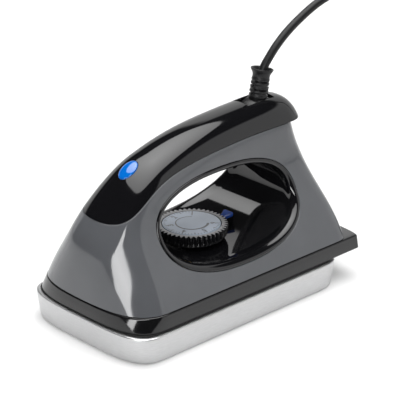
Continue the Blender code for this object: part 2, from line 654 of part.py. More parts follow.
# ---- free cord ----------------------------------------------------------------------------------
def make_tube(name, points):
    """A length of the free cord, as a round curve through the points."""
    curve = bpy.data.curves.new(name, "CURVE")
    curve.dimensions = "3D"
    spline = curve.splines.new("POLY")
    spline.points.add(len(points) - 1)
    for target, point in zip(spline.points, points):
        target.co = (*(Vector(point) * MM), 1)
    curve.bevel_depth = CORD_DIAMETER / 2 * MM
    curve.bevel_resolution = 3
    curve.use_fill_caps = True
    curve.materials.append(RUBBER)
    bpy.context.scene.collection.objects.link(bpy.data.objects.new(name, curve))


def make_cord():
    exit_point = sleeve_place() @ Vector((0, 0, CORD_EXIT))
    make_tube("cord_run", fine([tuple(exit_point), *CORD_ROUTE], 30))
    end = TAIL_LENGTH - GAP
    tail = [
        (TAIL_CLEAR, 0.0, 4.8), (end - 7.2, 0.0, 7.6), (end - 3.0, 0.0, PLUG_REAR_Z), (end, 0.0, PLUG_REAR_Z),
    ]
    make_tube("cord_tail", [coil_exit() @ Vector(point) for point in fine(tail, 7)])


def make_coil():
    low, high = COIL_INNER - CORD_DIAMETER / 2, COIL_OUTER + CORD_DIAMETER / 2
    round_off = 1.5
    profile = (
        (low, COIL_BOTTOM + round_off), (low + round_off, COIL_BOTTOM),
        (high - round_off, COIL_BOTTOM), (high, COIL_BOTTOM + round_off),
        (high, COIL_TOP - round_off), (high - round_off, COIL_TOP),
        (low + round_off, COIL_TOP), (low, COIL_TOP - round_off),
    )
    solid("cord_coil", turned(profile, 40, upright(COIL_X, COIL_Y, 0), bore=True), RUBBER)


def make_cord_tie():
    """A flat strap closed around the coil's turns on the side away from the iron."""
    half = TIE_WIDTH / 2
    low = math.sqrt((COIL_INNER - CORD_DIAMETER / 2) ** 2 - half ** 2) - GAP
    high = COIL_OUTER + CORD_DIAMETER / 2 + GAP
    section = []
    for grow in (TIE_THICKNESS, 0.0):
        bottom, top = COIL_BOTTOM - GAP - grow, COIL_TOP + GAP + grow
        section.append(((low - grow, bottom), (high + grow, bottom), (high + grow, top), (low - grow, top)))
    outer, inner = section
    place = upright(COIL_X, COIL_Y, 0) @ Matrix.Rotation(math.radians(TIE_ANGLE), 4, "Z")
    rings = [
        [place @ Vector((radius, y, z)) for radius, z in loop]
        for loop, y in ((outer, -half), (outer, half), (inner, half), (inner, -half))
    ]
    solid("cord_tie", loft(rings, closed=True), FIBRE)


def coil_exit():
    """Local X runs from the coil towards the plug's pins, along the tail of the cord."""
    angle = math.radians(TAIL_ANGLE)
    around = Matrix.Rotation(angle, 4, "Z")
    along = Matrix.Rotation(math.pi / 2, 4, "Z")
    return upright(COIL_X, COIL_Y, 0) @ around @ upright(COIL_OUTER, 0, 0) @ along


def make_plug():
    place = coil_exit() @ upright(TAIL_LENGTH, 0, PLUG_HEIGHT / 2 + 0.1)
    drop = PLUG_REAR_Z - PLUG_HEIGHT / 2 - 0.1
    sections = (        # distance from the rear, half width, half height, height of the middle
        (0.0, 3.2, 3.2, drop), (8.0, 4.2, 4.2, drop + 0.5), (10.0, 8.0, 7.0, drop + 1.0),
        (14.0, 12.0, 10.6, 0.0),
        (PLUG_LENGTH, PLUG_WIDTH / 2, PLUG_HEIGHT / 2, 0.0),
    )
    rings = []
    for x, half_width, half_height, middle in sections:
        corners = [2 * math.pi * k / 16 for k in range(16)]
        ring = [
            Vector((
                x,
                half_width * math.copysign(abs(math.cos(a)) ** 0.6, math.cos(a)),
                middle + half_height * math.copysign(abs(math.sin(a)) ** 0.6, math.sin(a)),
            ))
            for a in corners
        ]
        rings.append([place @ p for p in ring])
    solid("plug_body", loft(rings), RUBBER)
    start = PLUG_LENGTH + GAP
    for name, y in (("plug_blade_right", BLADE_SPREAD), ("plug_blade_left", -BLADE_SPREAD)):
        low = (start, y - 0.75, BLADE_RISE - 3.2)
        high = (start + 16, y + 0.75, BLADE_RISE + 3.2)
        solid(name, box(low, high, place), BRASS)
    pin = ((0.01, 0.0), (2.4, 0.0), (2.4, 16.0), (1.4, 18.0), (0.01, 18.0))
    ahead = upright(start, 0, -EARTH_DROP) @ Matrix.Rotation(math.radians(90), 4, "Y")
    solid("plug_earth_pin", turned(pin, 12, place @ ahead), BRASS)


make_soleplate()
make_heating_element()
make_sole_gasket()
make_base_skirt()
make_body_shell()
make_handle_liner()
make_top_cover()
make_indicator()
make_pointer()
make_dial()
make_thermostat()
make_wiring()
make_cord_clamp()
make_swivel()
for index, (screw_x, screw_y) in enumerate(SOLE_SCREWS):
    screw(f"sole_screw_{index + 1}", upright(screw_x, screw_y, SKIRT_TOP + 0.1), length=14.0, head=2.6)
make_cord()
make_coil()
make_cord_tie()
make_plug()
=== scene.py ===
"""Looks of the ski and snowboard waxing iron: fine outer surfaces, cord, materials, light and camera.

The nose points to -Y and +Z is up, in the frame of the CAD part.
Shapes are worked out in millimetres; mesh_object() writes them in metres.
"""
import json
import math

import bmesh
import bpy
import numpy as np
from mathutils import Matrix, Vector


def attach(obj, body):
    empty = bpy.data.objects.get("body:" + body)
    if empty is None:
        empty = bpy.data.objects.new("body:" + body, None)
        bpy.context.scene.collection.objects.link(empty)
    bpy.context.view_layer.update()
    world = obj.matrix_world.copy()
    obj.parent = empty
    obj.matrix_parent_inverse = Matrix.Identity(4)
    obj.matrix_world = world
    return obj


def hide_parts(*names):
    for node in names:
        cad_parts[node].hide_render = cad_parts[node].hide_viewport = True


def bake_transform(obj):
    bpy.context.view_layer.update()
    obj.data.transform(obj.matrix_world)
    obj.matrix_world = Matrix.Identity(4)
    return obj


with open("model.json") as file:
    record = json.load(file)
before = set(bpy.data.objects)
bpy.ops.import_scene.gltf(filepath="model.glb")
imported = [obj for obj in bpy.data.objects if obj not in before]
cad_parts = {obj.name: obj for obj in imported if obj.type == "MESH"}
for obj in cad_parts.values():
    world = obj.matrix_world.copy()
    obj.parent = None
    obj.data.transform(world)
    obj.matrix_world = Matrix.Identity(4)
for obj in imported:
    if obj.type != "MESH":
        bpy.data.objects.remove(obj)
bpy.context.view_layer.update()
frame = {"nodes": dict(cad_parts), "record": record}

MM = 0.001
GAP = 0.3                    # clearance between neighbouring pieces

# ---- the body's driving dimensions, as in the CAD part ------------------------------------------
SOLE_FRONT, SOLE_REAR = -82.0, 68.0
SOLE_HALF_WIDTH = 45.0
SOLE_TOP = 15.3
SOLE_TAPER = 1.2
SOLE_CORNER, SOLE_POWER = 21.0, 3.8
SKIRT_BOTTOM, SKIRT_TOP = 16.4, 24.0
SKIRT_FRONT, SKIRT_HALF_WIDTH, LEDGE_REAR = -81.1, 43.2, 82.0
BASE_Z = SKIRT_TOP + GAP
WALL = 2.2
CENTRE_Z = 55.0
OPENING_HALF_LENGTH, OPENING_HALF_HEIGHT, OPENING_POWER = 49.2, 23.6, 2.3
LINER_THICKNESS = 2.5
ROW_BUNCHING = 2.4
NOSE_DEPTH, REAR_DEPTH, CROWN_DEPTH = 24.5, 15.0, 18.0
COVER_OVERHANG = 7.0
NOSE_Y = ((24, -80.3), (45, -79.0), (65, -72.5), (80, -62.0), (95, -60.0))
REAR_Y = ((24, 78.5), (38, 77.0), (52, 73.0), (68, 66.8), (85, 61.3), (100, 61.0))
CROWN_Z = (
    (-82, 60.5), (-62, 80.0), (-47, 87.0), (-27, 93.7), (-7, 98.0),
    (13, 100.0), (33, 101.1), (51, 100.9), (65, 98.0),
)
SQUARENESS = ((24, 2.85), (34, 2.6), (46, 2.42), (60, 2.4), (100, 2.4))      # of the rounded edges, by height
HALF_WIDTH = ((24, 41.8), (34, 36.8), (46, 29.5), (60, 21.5), (76, 17.4), (100, 14.5))
COVER_EDGE = (
    (-71, 64.3), (-65, 65.6), (-55, 70.4), (-43, 77.6), (-27, 83.0), (-7, 86.0), (23, 88.1), (60, 88.0),
)
DIAL_Y, DIAL_TOP = -4.3, 43.0
DIAL_TEETH, RIM_RADIUS = 45, 15.75      # the toothed ring's inner radius, around the pale face
LENS_Y, LENS_Z, LENS_SLOPE = -48.0, 85.3, 33.4
LENS_LENGTH, LENS_WIDTH = 12.3, 9.0
SLOT_FRONT, SLOT_BACK, SLOT_HALF_WIDTH = 31.0, 50.9, 5.5
SWIVEL_Y, SWIVEL_Z, SWIVEL_RADIUS = 42.0, 90.3, 10.3
SLEEVE_LEAN = 11.0           # degrees towards +Y at rest
SLEEVE_START = 6.0           # from the swivel's axis along the sleeve

# ---- the cord ------------------------------------------------------------------------------------
CORD_DIAMETER = 4.5
CORD_EXIT = 22.4             # from the swivel's axis along the sleeve
COIL_X, COIL_Y = 14.0, 196.0
COIL_INNER, COIL_OUTER, COIL_LAYERS = 14.0, 27.0, 4
TIE_WIDTH, TIE_THICKNESS, TIE_ANGLE = 8.0, 0.7, 150.0
COIL_BOTTOM = 0.1 + TIE_THICKNESS + GAP
LOW_LAYER_Z = COIL_BOTTOM + CORD_DIAMETER / 2
CORD_ROUTE = (
    (0.0, 48.0, 116.0), (0.0, 51.2, 119.8), (0.0, 55.4, 124.1), (0.0, 60.3, 128.2), (0.2, 66.5, 132.7),
    (1.0, 75.0, 138.0), (2.5, 85.0, 143.5), (6.0, 98.0, 148.5), (11.0, 111.0, 150.5), (17.0, 124.0, 147.5),
    (23.0, 136.0, 140.0), (28.5, 146.8, 127.0), (32.5, 155.3, 109.0), (35.5, 161.5, 89.0),
    (37.7, 165.8, 68.0), (39.3, 169.0, 50.0), (40.5, 172.2, 35.5), (41.0, 176.0, 27.0), (41.0, 181.0, 21.8),
)
COIL_TURNS, STEP_DOWN = 11, 0.12      # whole turns besides TAIL_ANGLE, and the part of one between layers
TAIL_ANGLE, TAIL_LENGTH = 60.0, 30.0
PLUG_LENGTH, PLUG_HEIGHT, PLUG_REAR_Z = 30.0, 22.0, 9.6
BLADE_SPREAD, BLADE_RISE, EARTH_DROP = 6.35, 5.0, 6.8

# ---- the view ------------------------------------------------------------------------------------
CAMERA_AZIMUTH, CAMERA_ELEVATION = 46.3, 23.2      # degrees
CAMERA_DISTANCE, CAMERA_LENS = 1.0, 169.8          # metres, and millimetres on a 36 mm sensor
CAMERA_SHIFT_RIGHT, CAMERA_SHIFT_UP = 0.0064, 0.0521      # metres in the view, from the sole's middle


def look_direction(azimuth, elevation):
    """Unit vector from the object towards that azimuth (0 is -Y, 90 is +X) and elevation."""
    a, e = math.radians(azimuth), math.radians(elevation)
    return Vector((math.sin(a) * math.cos(e), -math.cos(a) * math.cos(e), math.sin(e)))


def make_camera():
    back = look_direction(CAMERA_AZIMUTH, CAMERA_ELEVATION)
    right = Vector((0, 0, 1)).cross(back).normalized()
    up = back.cross(right)
    sole_middle = Vector((0, (SOLE_FRONT + SOLE_REAR) / 2 * MM, 0))
    target = sole_middle + right * CAMERA_SHIFT_RIGHT + up * CAMERA_SHIFT_UP
    data = bpy.data.cameras.new("camera")
    data.lens = CAMERA_LENS
    data.sensor_width = 36.0
    camera = bpy.data.objects.new("camera", data)
    camera.location = target + back * CAMERA_DISTANCE
    camera.rotation_mode = "QUATERNION"
    camera.rotation_quaternion = (-back).to_track_quat("-Z", "Y")
    bpy.context.scene.collection.objects.link(camera)
    bpy.context.scene.camera = camera


make_camera()


# ---- materials -----------------------------------------------------------------------------------
class Look:
    """A Principled material whose textures are laid on object coordinates."""

    def __init__(self, name, colour, roughness, metallic=0.0):
        self.material = bpy.data.materials.new(name)
        self.material.use_nodes = True
        self.tree = self.material.node_tree
        self.shader = self.tree.nodes["Principled BSDF"]
        self.shader.inputs["Base Color"].default_value = (*colour, 1.0)
        self.shader.inputs["Roughness"].default_value = roughness
        self.shader.inputs["Metallic"].default_value = metallic
        self.place = self.tree.nodes.new("ShaderNodeTexCoord").outputs["Object"]

    def node(self, kind, **inputs):
        made = self.tree.nodes.new(kind)
        for name, value in inputs.items():
            socket = made.inputs[name.replace("_", " ")]
            if isinstance(value, bpy.types.NodeSocket):
                self.tree.links.new(value, socket)
            else:
                socket.default_value = value
        return made

    def noise(self, scale, stretch=(1, 1, 1), detail=3.0):
        """A noise pattern; scale is in patches per metre, before stretch."""
        placed = self.node("ShaderNodeMapping", Vector=self.place, Scale=stretch).outputs["Vector"]
        return self.node("ShaderNodeTexNoise", Vector=placed, Scale=scale, Detail=detail).outputs["Fac"]

    def spread(self, pattern, low, high, start=0.3, end=0.7):
        """The pattern's values from start to end, mapped to low to high."""
        made = self.node("ShaderNodeMapRange", Value=pattern)
        values = (start, end, low, high)
        for name, value in zip(("From Min", "From Max", "To Min", "To Max"), values):
            made.inputs[name].default_value = value
        return made.outputs["Result"]

    def vary_colour(self, pattern, dark, light):
        ramp = self.node("ShaderNodeValToRGB", Fac=pattern)
        ramp.color_ramp.elements[0].position = 0.3
        ramp.color_ramp.elements[0].color = (*dark, 1.0)
        ramp.color_ramp.elements[1].position = 0.7
        ramp.color_ramp.elements[1].color = (*light, 1.0)
        self.tree.links.new(ramp.outputs["Color"], self.shader.inputs["Base Color"])

    def vary_roughness(self, pattern, low, high):
        self.tree.links.new(self.spread(pattern, low, high), self.shader.inputs["Roughness"])

    def bump(self, pattern, depth):
        """Raises the surface by up to depth metres where the pattern is 1."""
        made = self.node("ShaderNodeBump", Height=pattern, Strength=1.0, Distance=depth)
        self.tree.links.new(made.outputs["Normal"], self.shader.inputs["Normal"])


def moulded(name, colour, roughness, ripple=0.0, ior=1.5):
    """Moulded plastic: slightly uneven colour and gloss, with the faint ripple of a moulded face."""
    made = Look(name, colour, roughness)
    made.shader.inputs["IOR"].default_value = ior
    dark = tuple(c * 0.96 for c in colour)
    light = tuple(c * 1.04 for c in colour)
    made.vary_colour(made.noise(60.0), dark, light)
    made.vary_roughness(made.noise(150.0), roughness * 0.85, roughness * 1.15)
    if ripple:
        made.bump(made.noise(320.0, detail=1.0), ripple)
    return made.material


def brushed(name, colour, roughness, stretch, grain=2.0e-6):
    """Brushed metal: fine long scratches along the directions that stretch leaves short."""
    made = Look(name, colour, roughness, metallic=1.0)
    lines = made.noise(900.0, stretch, detail=4.0)
    broad = made.noise(260.0, stretch, detail=2.0)
    made.vary_colour(broad, tuple(c * 0.9 for c in colour), colour)
    made.vary_roughness(lines, roughness * 0.8, roughness * 1.2)
    made.bump(lines, grain)
    return made.material


def cloudy(name, colour, roughness, metallic=0.0, scale=400.0, depth=1.0e-5, contrast=0.2, sheen=0.5):
    """A plain material with a fine uneven surface, for rubber, ceramic, fibre and small metal pieces."""
    made = Look(name, colour, roughness, metallic)
    made.shader.inputs["Specular IOR Level"].default_value = sheen
    pattern = made.noise(scale)
    made.vary_colour(pattern, tuple(c * (1 - contrast) for c in colour), colour)
    made.vary_roughness(made.noise(scale * 2), roughness * 0.85, min(1.0, roughness * 1.15))
    made.bump(pattern, depth)
    return made.material


GREY_SHELL = moulded("grey_gloss_plastic", (0.072, 0.075, 0.081), 0.07, ripple=4.0e-7)
BLACK_GLOSS = moulded("black_gloss_plastic", (0.0035, 0.0035, 0.0042), 0.05, ripple=2.5e-7)
SKIRT_BLACK = moulded("black_gloss_skirt", (0.004, 0.004, 0.0045), 0.09, ripple=4.0e-7)
DARK_SATIN = moulded("dark_satin_plastic", (0.005, 0.005, 0.0055), 0.25, ior=1.38)
DIAL_BLACK = moulded("dial_black", (0.006, 0.006, 0.007), 0.22)
# painted sheen: a pale grey that stands in for the overhead lamp's reflection on the black dial rim's flat
# top
DIAL_RIM_PAINTED_SHEEN = moulded("dial_rim_painted_sheen", (0.16, 0.16, 0.165), 0.3)
DIAL_PALE = moulded("dial_pale_blue", (0.30, 0.345, 0.41), 0.22)
DIAL_INK = moulded("dial_ink", (0.018, 0.02, 0.026), 0.3)
BLUE = moulded("pointer_blue", (0.012, 0.045, 0.22), 0.2)
LENS_BLUE = moulded("lens_blue", (0.0, 0.11, 0.45), 0.03, ior=1.7)
RUBBER = cloudy("cord_rubber", (0.007, 0.007, 0.0075), 0.4, scale=700.0, depth=6.0e-6, sheen=0.3)
SLEEVE_RUBBER = cloudy("sleeve_rubber", (0.007, 0.007, 0.0075), 0.42, scale=500.0, depth=8.0e-6, sheen=0.3)
PLUG_RUBBER = cloudy("plug_rubber", (0.02, 0.02, 0.021), 0.45, scale=500.0, depth=1.2e-5)
ALUMINIUM = brushed("brushed_aluminium", (0.55, 0.552, 0.556), 0.34, (1.0, 1.0, 14.0))
STEEL = brushed("plain_steel", (0.55, 0.55, 0.56), 0.3, (1.0, 1.0, 8.0))
BRASS = cloudy("contact_brass", (0.72, 0.5, 0.2), 0.3, metallic=1.0, scale=300.0, depth=2.0e-6)
CERAMIC = cloudy("ceramic", (0.78, 0.75, 0.68), 0.45, scale=900.0, depth=5.0e-6, contrast=0.06)
BOARD = cloudy("board_green", (0.02, 0.17, 0.06), 0.4, scale=800.0, depth=4.0e-6)
FIBRE = cloudy("pressed_fibre", (0.012, 0.012, 0.012), 0.85, scale=1500.0, depth=2.0e-5, contrast=0.5)
LOOKS = {
    "aluminium": ALUMINIUM, "grey_shell": GREY_SHELL, "black_gloss": BLACK_GLOSS, "dark_satin": DARK_SATIN,
    "dial_black": DIAL_BLACK, "dial_pale": DIAL_PALE, "pointer_blue": BLUE, "lens_blue": LENS_BLUE,
    "rubber": RUBBER, "steel": STEEL, "brass": BRASS, "ceramic": CERAMIC, "board": BOARD, "fibre": FIBRE,
}


# ---- making pieces -------------------------------------------------------------------------------
def mesh_object(name, bm, look, smooth_angle=40.0):
    """Writes a bmesh in millimetres as an object in metres."""
    bmesh.ops.remove_doubles(bm, verts=bm.verts, dist=0.002)
    bmesh.ops.dissolve_degenerate(bm, edges=bm.edges, dist=0.0005)
    bmesh.ops.recalc_face_normals(bm, faces=bm.faces)
    bmesh.ops.transform(bm, verts=bm.verts, matrix=Matrix.Scale(MM, 4))
    mesh = bpy.data.meshes.new(name)
    bm.to_mesh(mesh)
    bm.free()
    mesh.materials.append(look)
    mesh.shade_smooth()
    mesh.set_sharp_from_angle(angle=math.radians(smooth_angle))
    made = bpy.data.objects.new(name, mesh)
    bpy.context.scene.collection.objects.link(made)
    return made


def piece(name, bm, look, slot, body, *nodes, cutters=(), smooth_angle=40.0):
    """A fine piece that stands for CAD nodes and moves with their body."""
    made = mesh_object(name, bm, look, smooth_angle)
    carve(made, cutters)
    made.data.set_sharp_from_angle(angle=math.radians(smooth_angle))
    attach(made, body)
    if nodes:
        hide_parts(*nodes)
    return made


def carve(target, cutters):
    """Takes the cutters' shapes out of the target's mesh for good."""
    tools = [mesh_object(f"{target.name}_cutter_{i}", bm, FIBRE) for i, bm in enumerate(cutters)]
    for tool in tools:
        tool.data.materials.clear()
        step = target.modifiers.new(tool.name, "BOOLEAN")
        step.operation = "DIFFERENCE"
        step.solver = "EXACT"
        step.object = tool
    if tools:
        evaluated = target.evaluated_get(bpy.context.evaluated_depsgraph_get())
        target.data = bpy.data.meshes.new_from_object(evaluated)
        target.modifiers.clear()
    for tool in tools:
        bpy.data.objects.remove(tool)


def loft(rings, closed=False, bm=None):
    """Rings of the same number of points, joined in order; the ends are capped unless the rings close up."""
    bm = bm or bmesh.new()
    rows = [[bm.verts.new(p) for p in ring] for ring in rings]
    count = len(rows[0])
    pairs = list(zip(rows, rows[1:]))
    if closed:
        pairs.append((rows[-1], rows[0]))
    for low, high in pairs:
        for i in range(count):
            k = (i + 1) % count
            bm.faces.new((low[i], low[k], high[k], high[i]))
    if not closed:
        bm.faces.new(rows[0][::-1])
        bm.faces.new(rows[-1])
    return bm


def box(low, high, place=Matrix.Identity(4), rounding=0.0):
    x0, y0, z0 = low
    x1, y1, z1 = high
    outline = ((x0, y0), (x1, y0), (x1, y1), (x0, y1))
    bm = loft([[place @ Vector((x, y, z)) for x, y in outline] for z in (z0, z1)])
    if rounding:
        bmesh.ops.bevel(bm, geom=list(bm.edges), offset=rounding, segments=4, profile=0.5, affect="EDGES")
    return bm


def turned(profile, sides, place=Matrix.Identity(4)):
    """Turns (radius, height) pairs about local Z."""
    return notched([(r, z, 0.0, 0.0) for r, z in profile], sides, place, np.zeros_like)


def notched(profile, sides, place, pattern, bore=False):
    """Turns (radius, height, depth, phase) about local Z.

    pattern(angle - phase) goes from 0 to 1, and cuts depth in where it is 1.
    """
    angles = np.arange(sides) * 2 * math.pi / sides
    rings = []
    for radius, z, depth, phase in profile:
        reach_out = radius - depth * pattern(angles - phase)
        across = zip(reach_out * np.cos(angles), reach_out * np.sin(angles))
        rings.append([place @ Vector((x, y, z)) for x, y in across])
    return loft(rings, closed=bore)


def sweep(points, radius, sides=8):
    """A round bar along a path, with its section carried along without twist."""
    points = [Vector(p) for p in points]
    behind, beyond = points[:1] + points[:-1], points[1:] + points[-1:]
    ahead = [(b - a).normalized() for a, b in zip(behind, beyond)]
    side = ahead[0].orthogonal().normalized()
    rings = []
    for point, direction in zip(points, ahead):
        side = (side - direction * side.dot(direction)).normalized()
        other = direction.cross(side)
        angles = [2 * math.pi * k / sides for k in range(sides)]
        rings.append([point + radius * (side * math.cos(a) + other * math.sin(a)) for a in angles])
    return loft(rings)


def hull_of_circles(circles, inset, steps):
    """Points round the taut outline of (x, y, radius) circles, drawn in by inset."""
    points = []
    for i in range(steps):
        angle = 2 * math.pi * i / steps
        c, s = math.cos(angle), math.sin(angle)
        x, y, radius = max(circles, key=lambda circle: circle[0] * c + circle[1] * s + circle[2])
        points.append((x + (radius - inset) * c, y + (radius - inset) * s))
    return points


def signed_power(value, power):
    return math.copysign(abs(value) ** power, value)


def upright(x, y, z):
    return Matrix.Translation((x, y, z))


def along_x(x, y, z):
    return Matrix.Translation((x, y, z)) @ Matrix.Rotation(math.radians(90), 4, "Y")


# ---- the body's surface, as in the CAD part ------------------------------------------------------
def smooth(x, knots):
    """A natural cubic spline through (x, value) knots, level outside them."""
    xs, values = np.array(knots, float).T
    step = np.diff(xs)
    matrix = np.diag(2 * (step[:-1] + step[1:])) + np.diag(step[1:-1], 1) + np.diag(step[1:-1], -1)
    inner = np.linalg.solve(matrix, 6 * np.diff(np.diff(values) / step))
    bend = np.concatenate([[0.0], inner, [0.0]])
    x = np.clip(np.asarray(x, float), xs[0], xs[-1])
    i = np.clip(np.searchsorted(xs, x) - 1, 0, len(xs) - 2)
    span, before, after = step[i], x - xs[i], xs[i + 1] - x
    straight = (values[i] * after + values[i + 1] * before) / span
    lift = bend[i] * (after ** 3 / span - span * after) + bend[i + 1] * (before ** 3 / span - span * before)
    return straight + lift / 6


def fullness(y, z, inset=0.0, overhang=0.0):
    """1 on the flat of the flank, falling to 0 at the body's outline and below 0 outside it."""
    nose = 1 - (y - smooth(z, NOSE_Y) - inset) / NOSE_DEPTH
    rear = 1 - (smooth(z, REAR_Y) + overhang - inset - y) / REAR_DEPTH
    crown = 1 - (smooth(y, CROWN_Z) - inset - z) / CROWN_DEPTH
    return 1 - sum(np.maximum(edge, 0) ** smooth(z, SQUARENESS) for edge in (nose, rear, crown))


def flank_x(y, z, inset=0.0, overhang=0.0):
    """Half the body's width at (y, z)."""
    full = np.maximum(fullness(y, z, inset, overhang), 0)
    return (smooth(z, HALF_WIDTH) - inset) * full ** (1 / smooth(z, SQUARENESS))


def opening(turn, inset=0.0):
    """A point of the finger opening's outline; turn runs once round from +Y through +Z."""
    c, s = np.cos(turn), np.sin(turn)
    grow = 2 / OPENING_POWER
    y = (OPENING_HALF_LENGTH - inset) * np.sign(c) * np.abs(c) ** grow
    z = (OPENING_HALF_HEIGHT - inset) * np.sign(s) * np.abs(s) ** grow
    return y, CENTRE_Z + z


def in_shell(inset):
    def inside(y, z):
        return (fullness(y, z, inset) > 0) & (z > BASE_Z) & (z < smooth(y, COVER_EDGE) - GAP / 2)
    return inside


def in_body(inset, overhang):
    def inside(y, z):
        return fullness(y, z, inset, overhang) > 0
    return inside


def below_cover(y, z):
    return z < smooth(y, COVER_EDGE) + GAP / 2


def reach(turn, inside):
    """How far the ray from the opening's middle through outline point turn stays inside, in outline radii."""
    y, z = opening(turn)
    low, high = np.full(np.shape(turn), 0.5), np.full(np.shape(turn), 4.0)
    for _ in range(40):
        middle = (low + high) / 2
        ok = inside(y * middle, CENTRE_Z + (z - CENTRE_Z) * middle)
        low, high = np.where(ok, middle, low), np.where(ok, high, middle)
    return low


def turn_at(y, z):
    """The turn whose ray passes through (y, z)."""
    rise, run = [
        signed_power(share, OPENING_POWER / 2)
        for share in ((z - CENTRE_Z) / OPENING_HALF_HEIGHT, y / OPENING_HALF_LENGTH)
    ]
    return math.atan2(rise, run) % (2 * math.pi)


def cover_ends(inset, overhang):
    """Where the cover's lower edge meets the outline: (nose point, rear point)."""
    ends = []
    for low, high in ((-40.0, -90.0), (30.0, 90.0)):
        for _ in range(40):
            middle = (low + high) / 2
            inside = fullness(middle, float(smooth(middle, COVER_EDGE)), inset, overhang) > 0
            low, high = (middle, high) if inside else (low, middle)
        ends.append((low, float(smooth(low, COVER_EDGE))))
    return ends


def skin_row(turns, radius, inset, overhang):
    """A point at an outline radius along each ray."""
    y, z = opening(turns)
    ys, zs = y * radius, CENTRE_Z + (z - CENTRE_Z) * radius
    return np.stack([flank_x(ys, zs, inset, overhang), ys, zs], -1)


def skin(turns, near, far, seam, rows, inset, overhang=0.0):
    """Rows of points from outline radius near to far along each ray, bunched towards far.

    Where seam is true, the far point lies on X = 0.
    """
    spread = np.linspace(1, 0, rows) ** ROW_BUNCHING
    grid = np.stack([skin_row(turns, far - (far - near) * share, inset, overhang) for share in spread], 1)
    grid[seam, -1, 0] = 0.0
    return grid


LIP = ((0.3, 0.0), (0.16, 0.03), (0.06, 0.11), (0.0, 0.28))      # back from the edge, depth below the skin


def lipped_skin(turns, near, far, seam, rows, overhang=0.0):
    """The outer skin with its free edges rounded over."""
    y, z = opening(turns)
    radius_mm = np.hypot(y, z - CENTRE_Z)
    back = [share / radius_mm for share, _ in LIP]
    start = np.minimum(near + back[0], far)
    end = np.where(seam, far, np.maximum(far - back[0], start))
    grid = skin(turns, start, end, seam, rows, 0.0, overhang)
    before, after = [], []
    for step, (_, depth) in zip(back[1:], LIP[1:]):
        before.insert(0, skin_row(turns, np.minimum(near + step, far), depth, overhang))
        edge = skin_row(turns, np.maximum(far - step, near), depth, overhang)
        after.append(np.where(seam[:, None], grid[:, -1], edge))
    return np.concatenate([np.stack(before, 1), grid, np.stack(after, 1)], 1)


def bunched(low, high, count):
    """count steps from low towards high, shorter at both ends."""
    return low + (high - low) * (1 - np.cos(np.pi * np.arange(count) / count)) / 2


SHELL_SPANS = (40, 150, 60, 140)        # rays up the rear, under the cover, down the nose, along the base
COVER_RAYS = 170
OUTER_ROWS, INNER_ROWS = 40, 7


def shell_turns(inset):
    """Ray directions for the shell, with one exactly at each corner of its outline."""
    nose_end, rear_end = cover_ends(inset, 0.0)
    corners = (
        turn_at(float(smooth(BASE_Z, REAR_Y)) - inset, BASE_Z) - 2 * math.pi,
        turn_at(rear_end[0], rear_end[1] - GAP / 2),
        turn_at(nose_end[0], nose_end[1] - GAP / 2),
        turn_at(float(smooth(BASE_Z, NOSE_Y)) + inset, BASE_Z),
    )
    spans = zip(corners, corners[1:] + (corners[0] + 2 * math.pi,), SHELL_SPANS)
    return np.concatenate([bunched(low, high, count) for low, high, count in spans])


def shell_seam():
    """True on the rays whose far end is on the rear column's or the nose's middle line."""
    rear, cover, nose, base = SHELL_SPANS
    return np.array([True] * (rear + 1) + [False] * (cover - 1) + [True] * (nose + 1) + [False] * (base - 1))


def cover_turns(inset, overhang):
    """Ray directions for the cover, closer together at its two ends."""
    nose_end, rear_end = cover_ends(inset, overhang)
    low, high = [turn_at(y, z + GAP / 2) for y, z in (rear_end, nose_end)]
    return np.append(bunched(low, high, COVER_RAYS), high)


def add_grid(bm, grid, closed, keep):
    """Faces between neighbouring points of a grid; keep(i, k) tells which pairs of lines to join."""
    lines = [[bm.verts.new(point) for point in line] for line in grid]
    count = len(lines)
    for i in range(count if closed else count - 1):
        k = (i + 1) % count
        if keep(i, k):
            for j in range(len(lines[i]) - 1):
                bm.faces.new((lines[i][j], lines[k][j], lines[k][j + 1], lines[i][j + 1]))


def hollow_skin(outer, inner, closed):
    """A wall between two skins and their mirror images, closed along the edges that lie off X = 0."""
    bm = bmesh.new()
    for side in (1, -1):
        flip = np.array((side, 1, 1))
        for grid in (outer, inner):
            add_grid(bm, grid * flip, closed, lambda i, k: True)
        for j in (0, -1):
            edge = np.stack([outer[:, j], inner[:, j]], 1) * flip
            add_grid(bm, edge, closed, lambda i, k, j=j: outer[i, j, 0] > 0 or outer[k, j, 0] > 0)
    return bm


def shade_by_formula(target, overhang=0.0):
    """Takes the outer faces' normals from the body's own formula, so that its reflections run smoothly."""
    mesh = target.data
    spots = np.empty(len(mesh.vertices) * 3)
    mesh.vertices.foreach_get("co", spots)
    spots = spots.reshape(-1, 3) / MM
    step = 0.02

    def level(offset):
        x, y, z = (spots + offset).T
        return fullness(y, z, 0.0, overhang) - (np.abs(x) / smooth(z, HALF_WIDTH)) ** smooth(z, SQUARENESS)

    slope = np.stack([level(-way) - level(way) for way in np.eye(3) * step], 1) / (2 * step)
    steepness = np.maximum(np.linalg.norm(slope, axis=1), 1e-9)
    normals = slope / steepness[:, None]
    on_skin = np.abs(level(np.zeros(3))) / steepness < 0.02
    corner = np.empty(len(mesh.loops), int)
    mesh.loops.foreach_get("vertex_index", corner)
    sizes = np.empty(len(mesh.polygons), int)
    mesh.polygons.foreach_get("loop_total", sizes)
    facing = np.empty(len(mesh.polygons) * 3)
    mesh.polygons.foreach_get("normal", facing)
    facing = np.repeat(facing.reshape(-1, 3), sizes, axis=0)
    chosen = normals[corner]
    used = on_skin[corner] & ((chosen * facing).sum(1) > math.cos(math.radians(40)))
    mesh.normals_split_custom_set(np.where(used[:, None], chosen, 0.0).tolist())


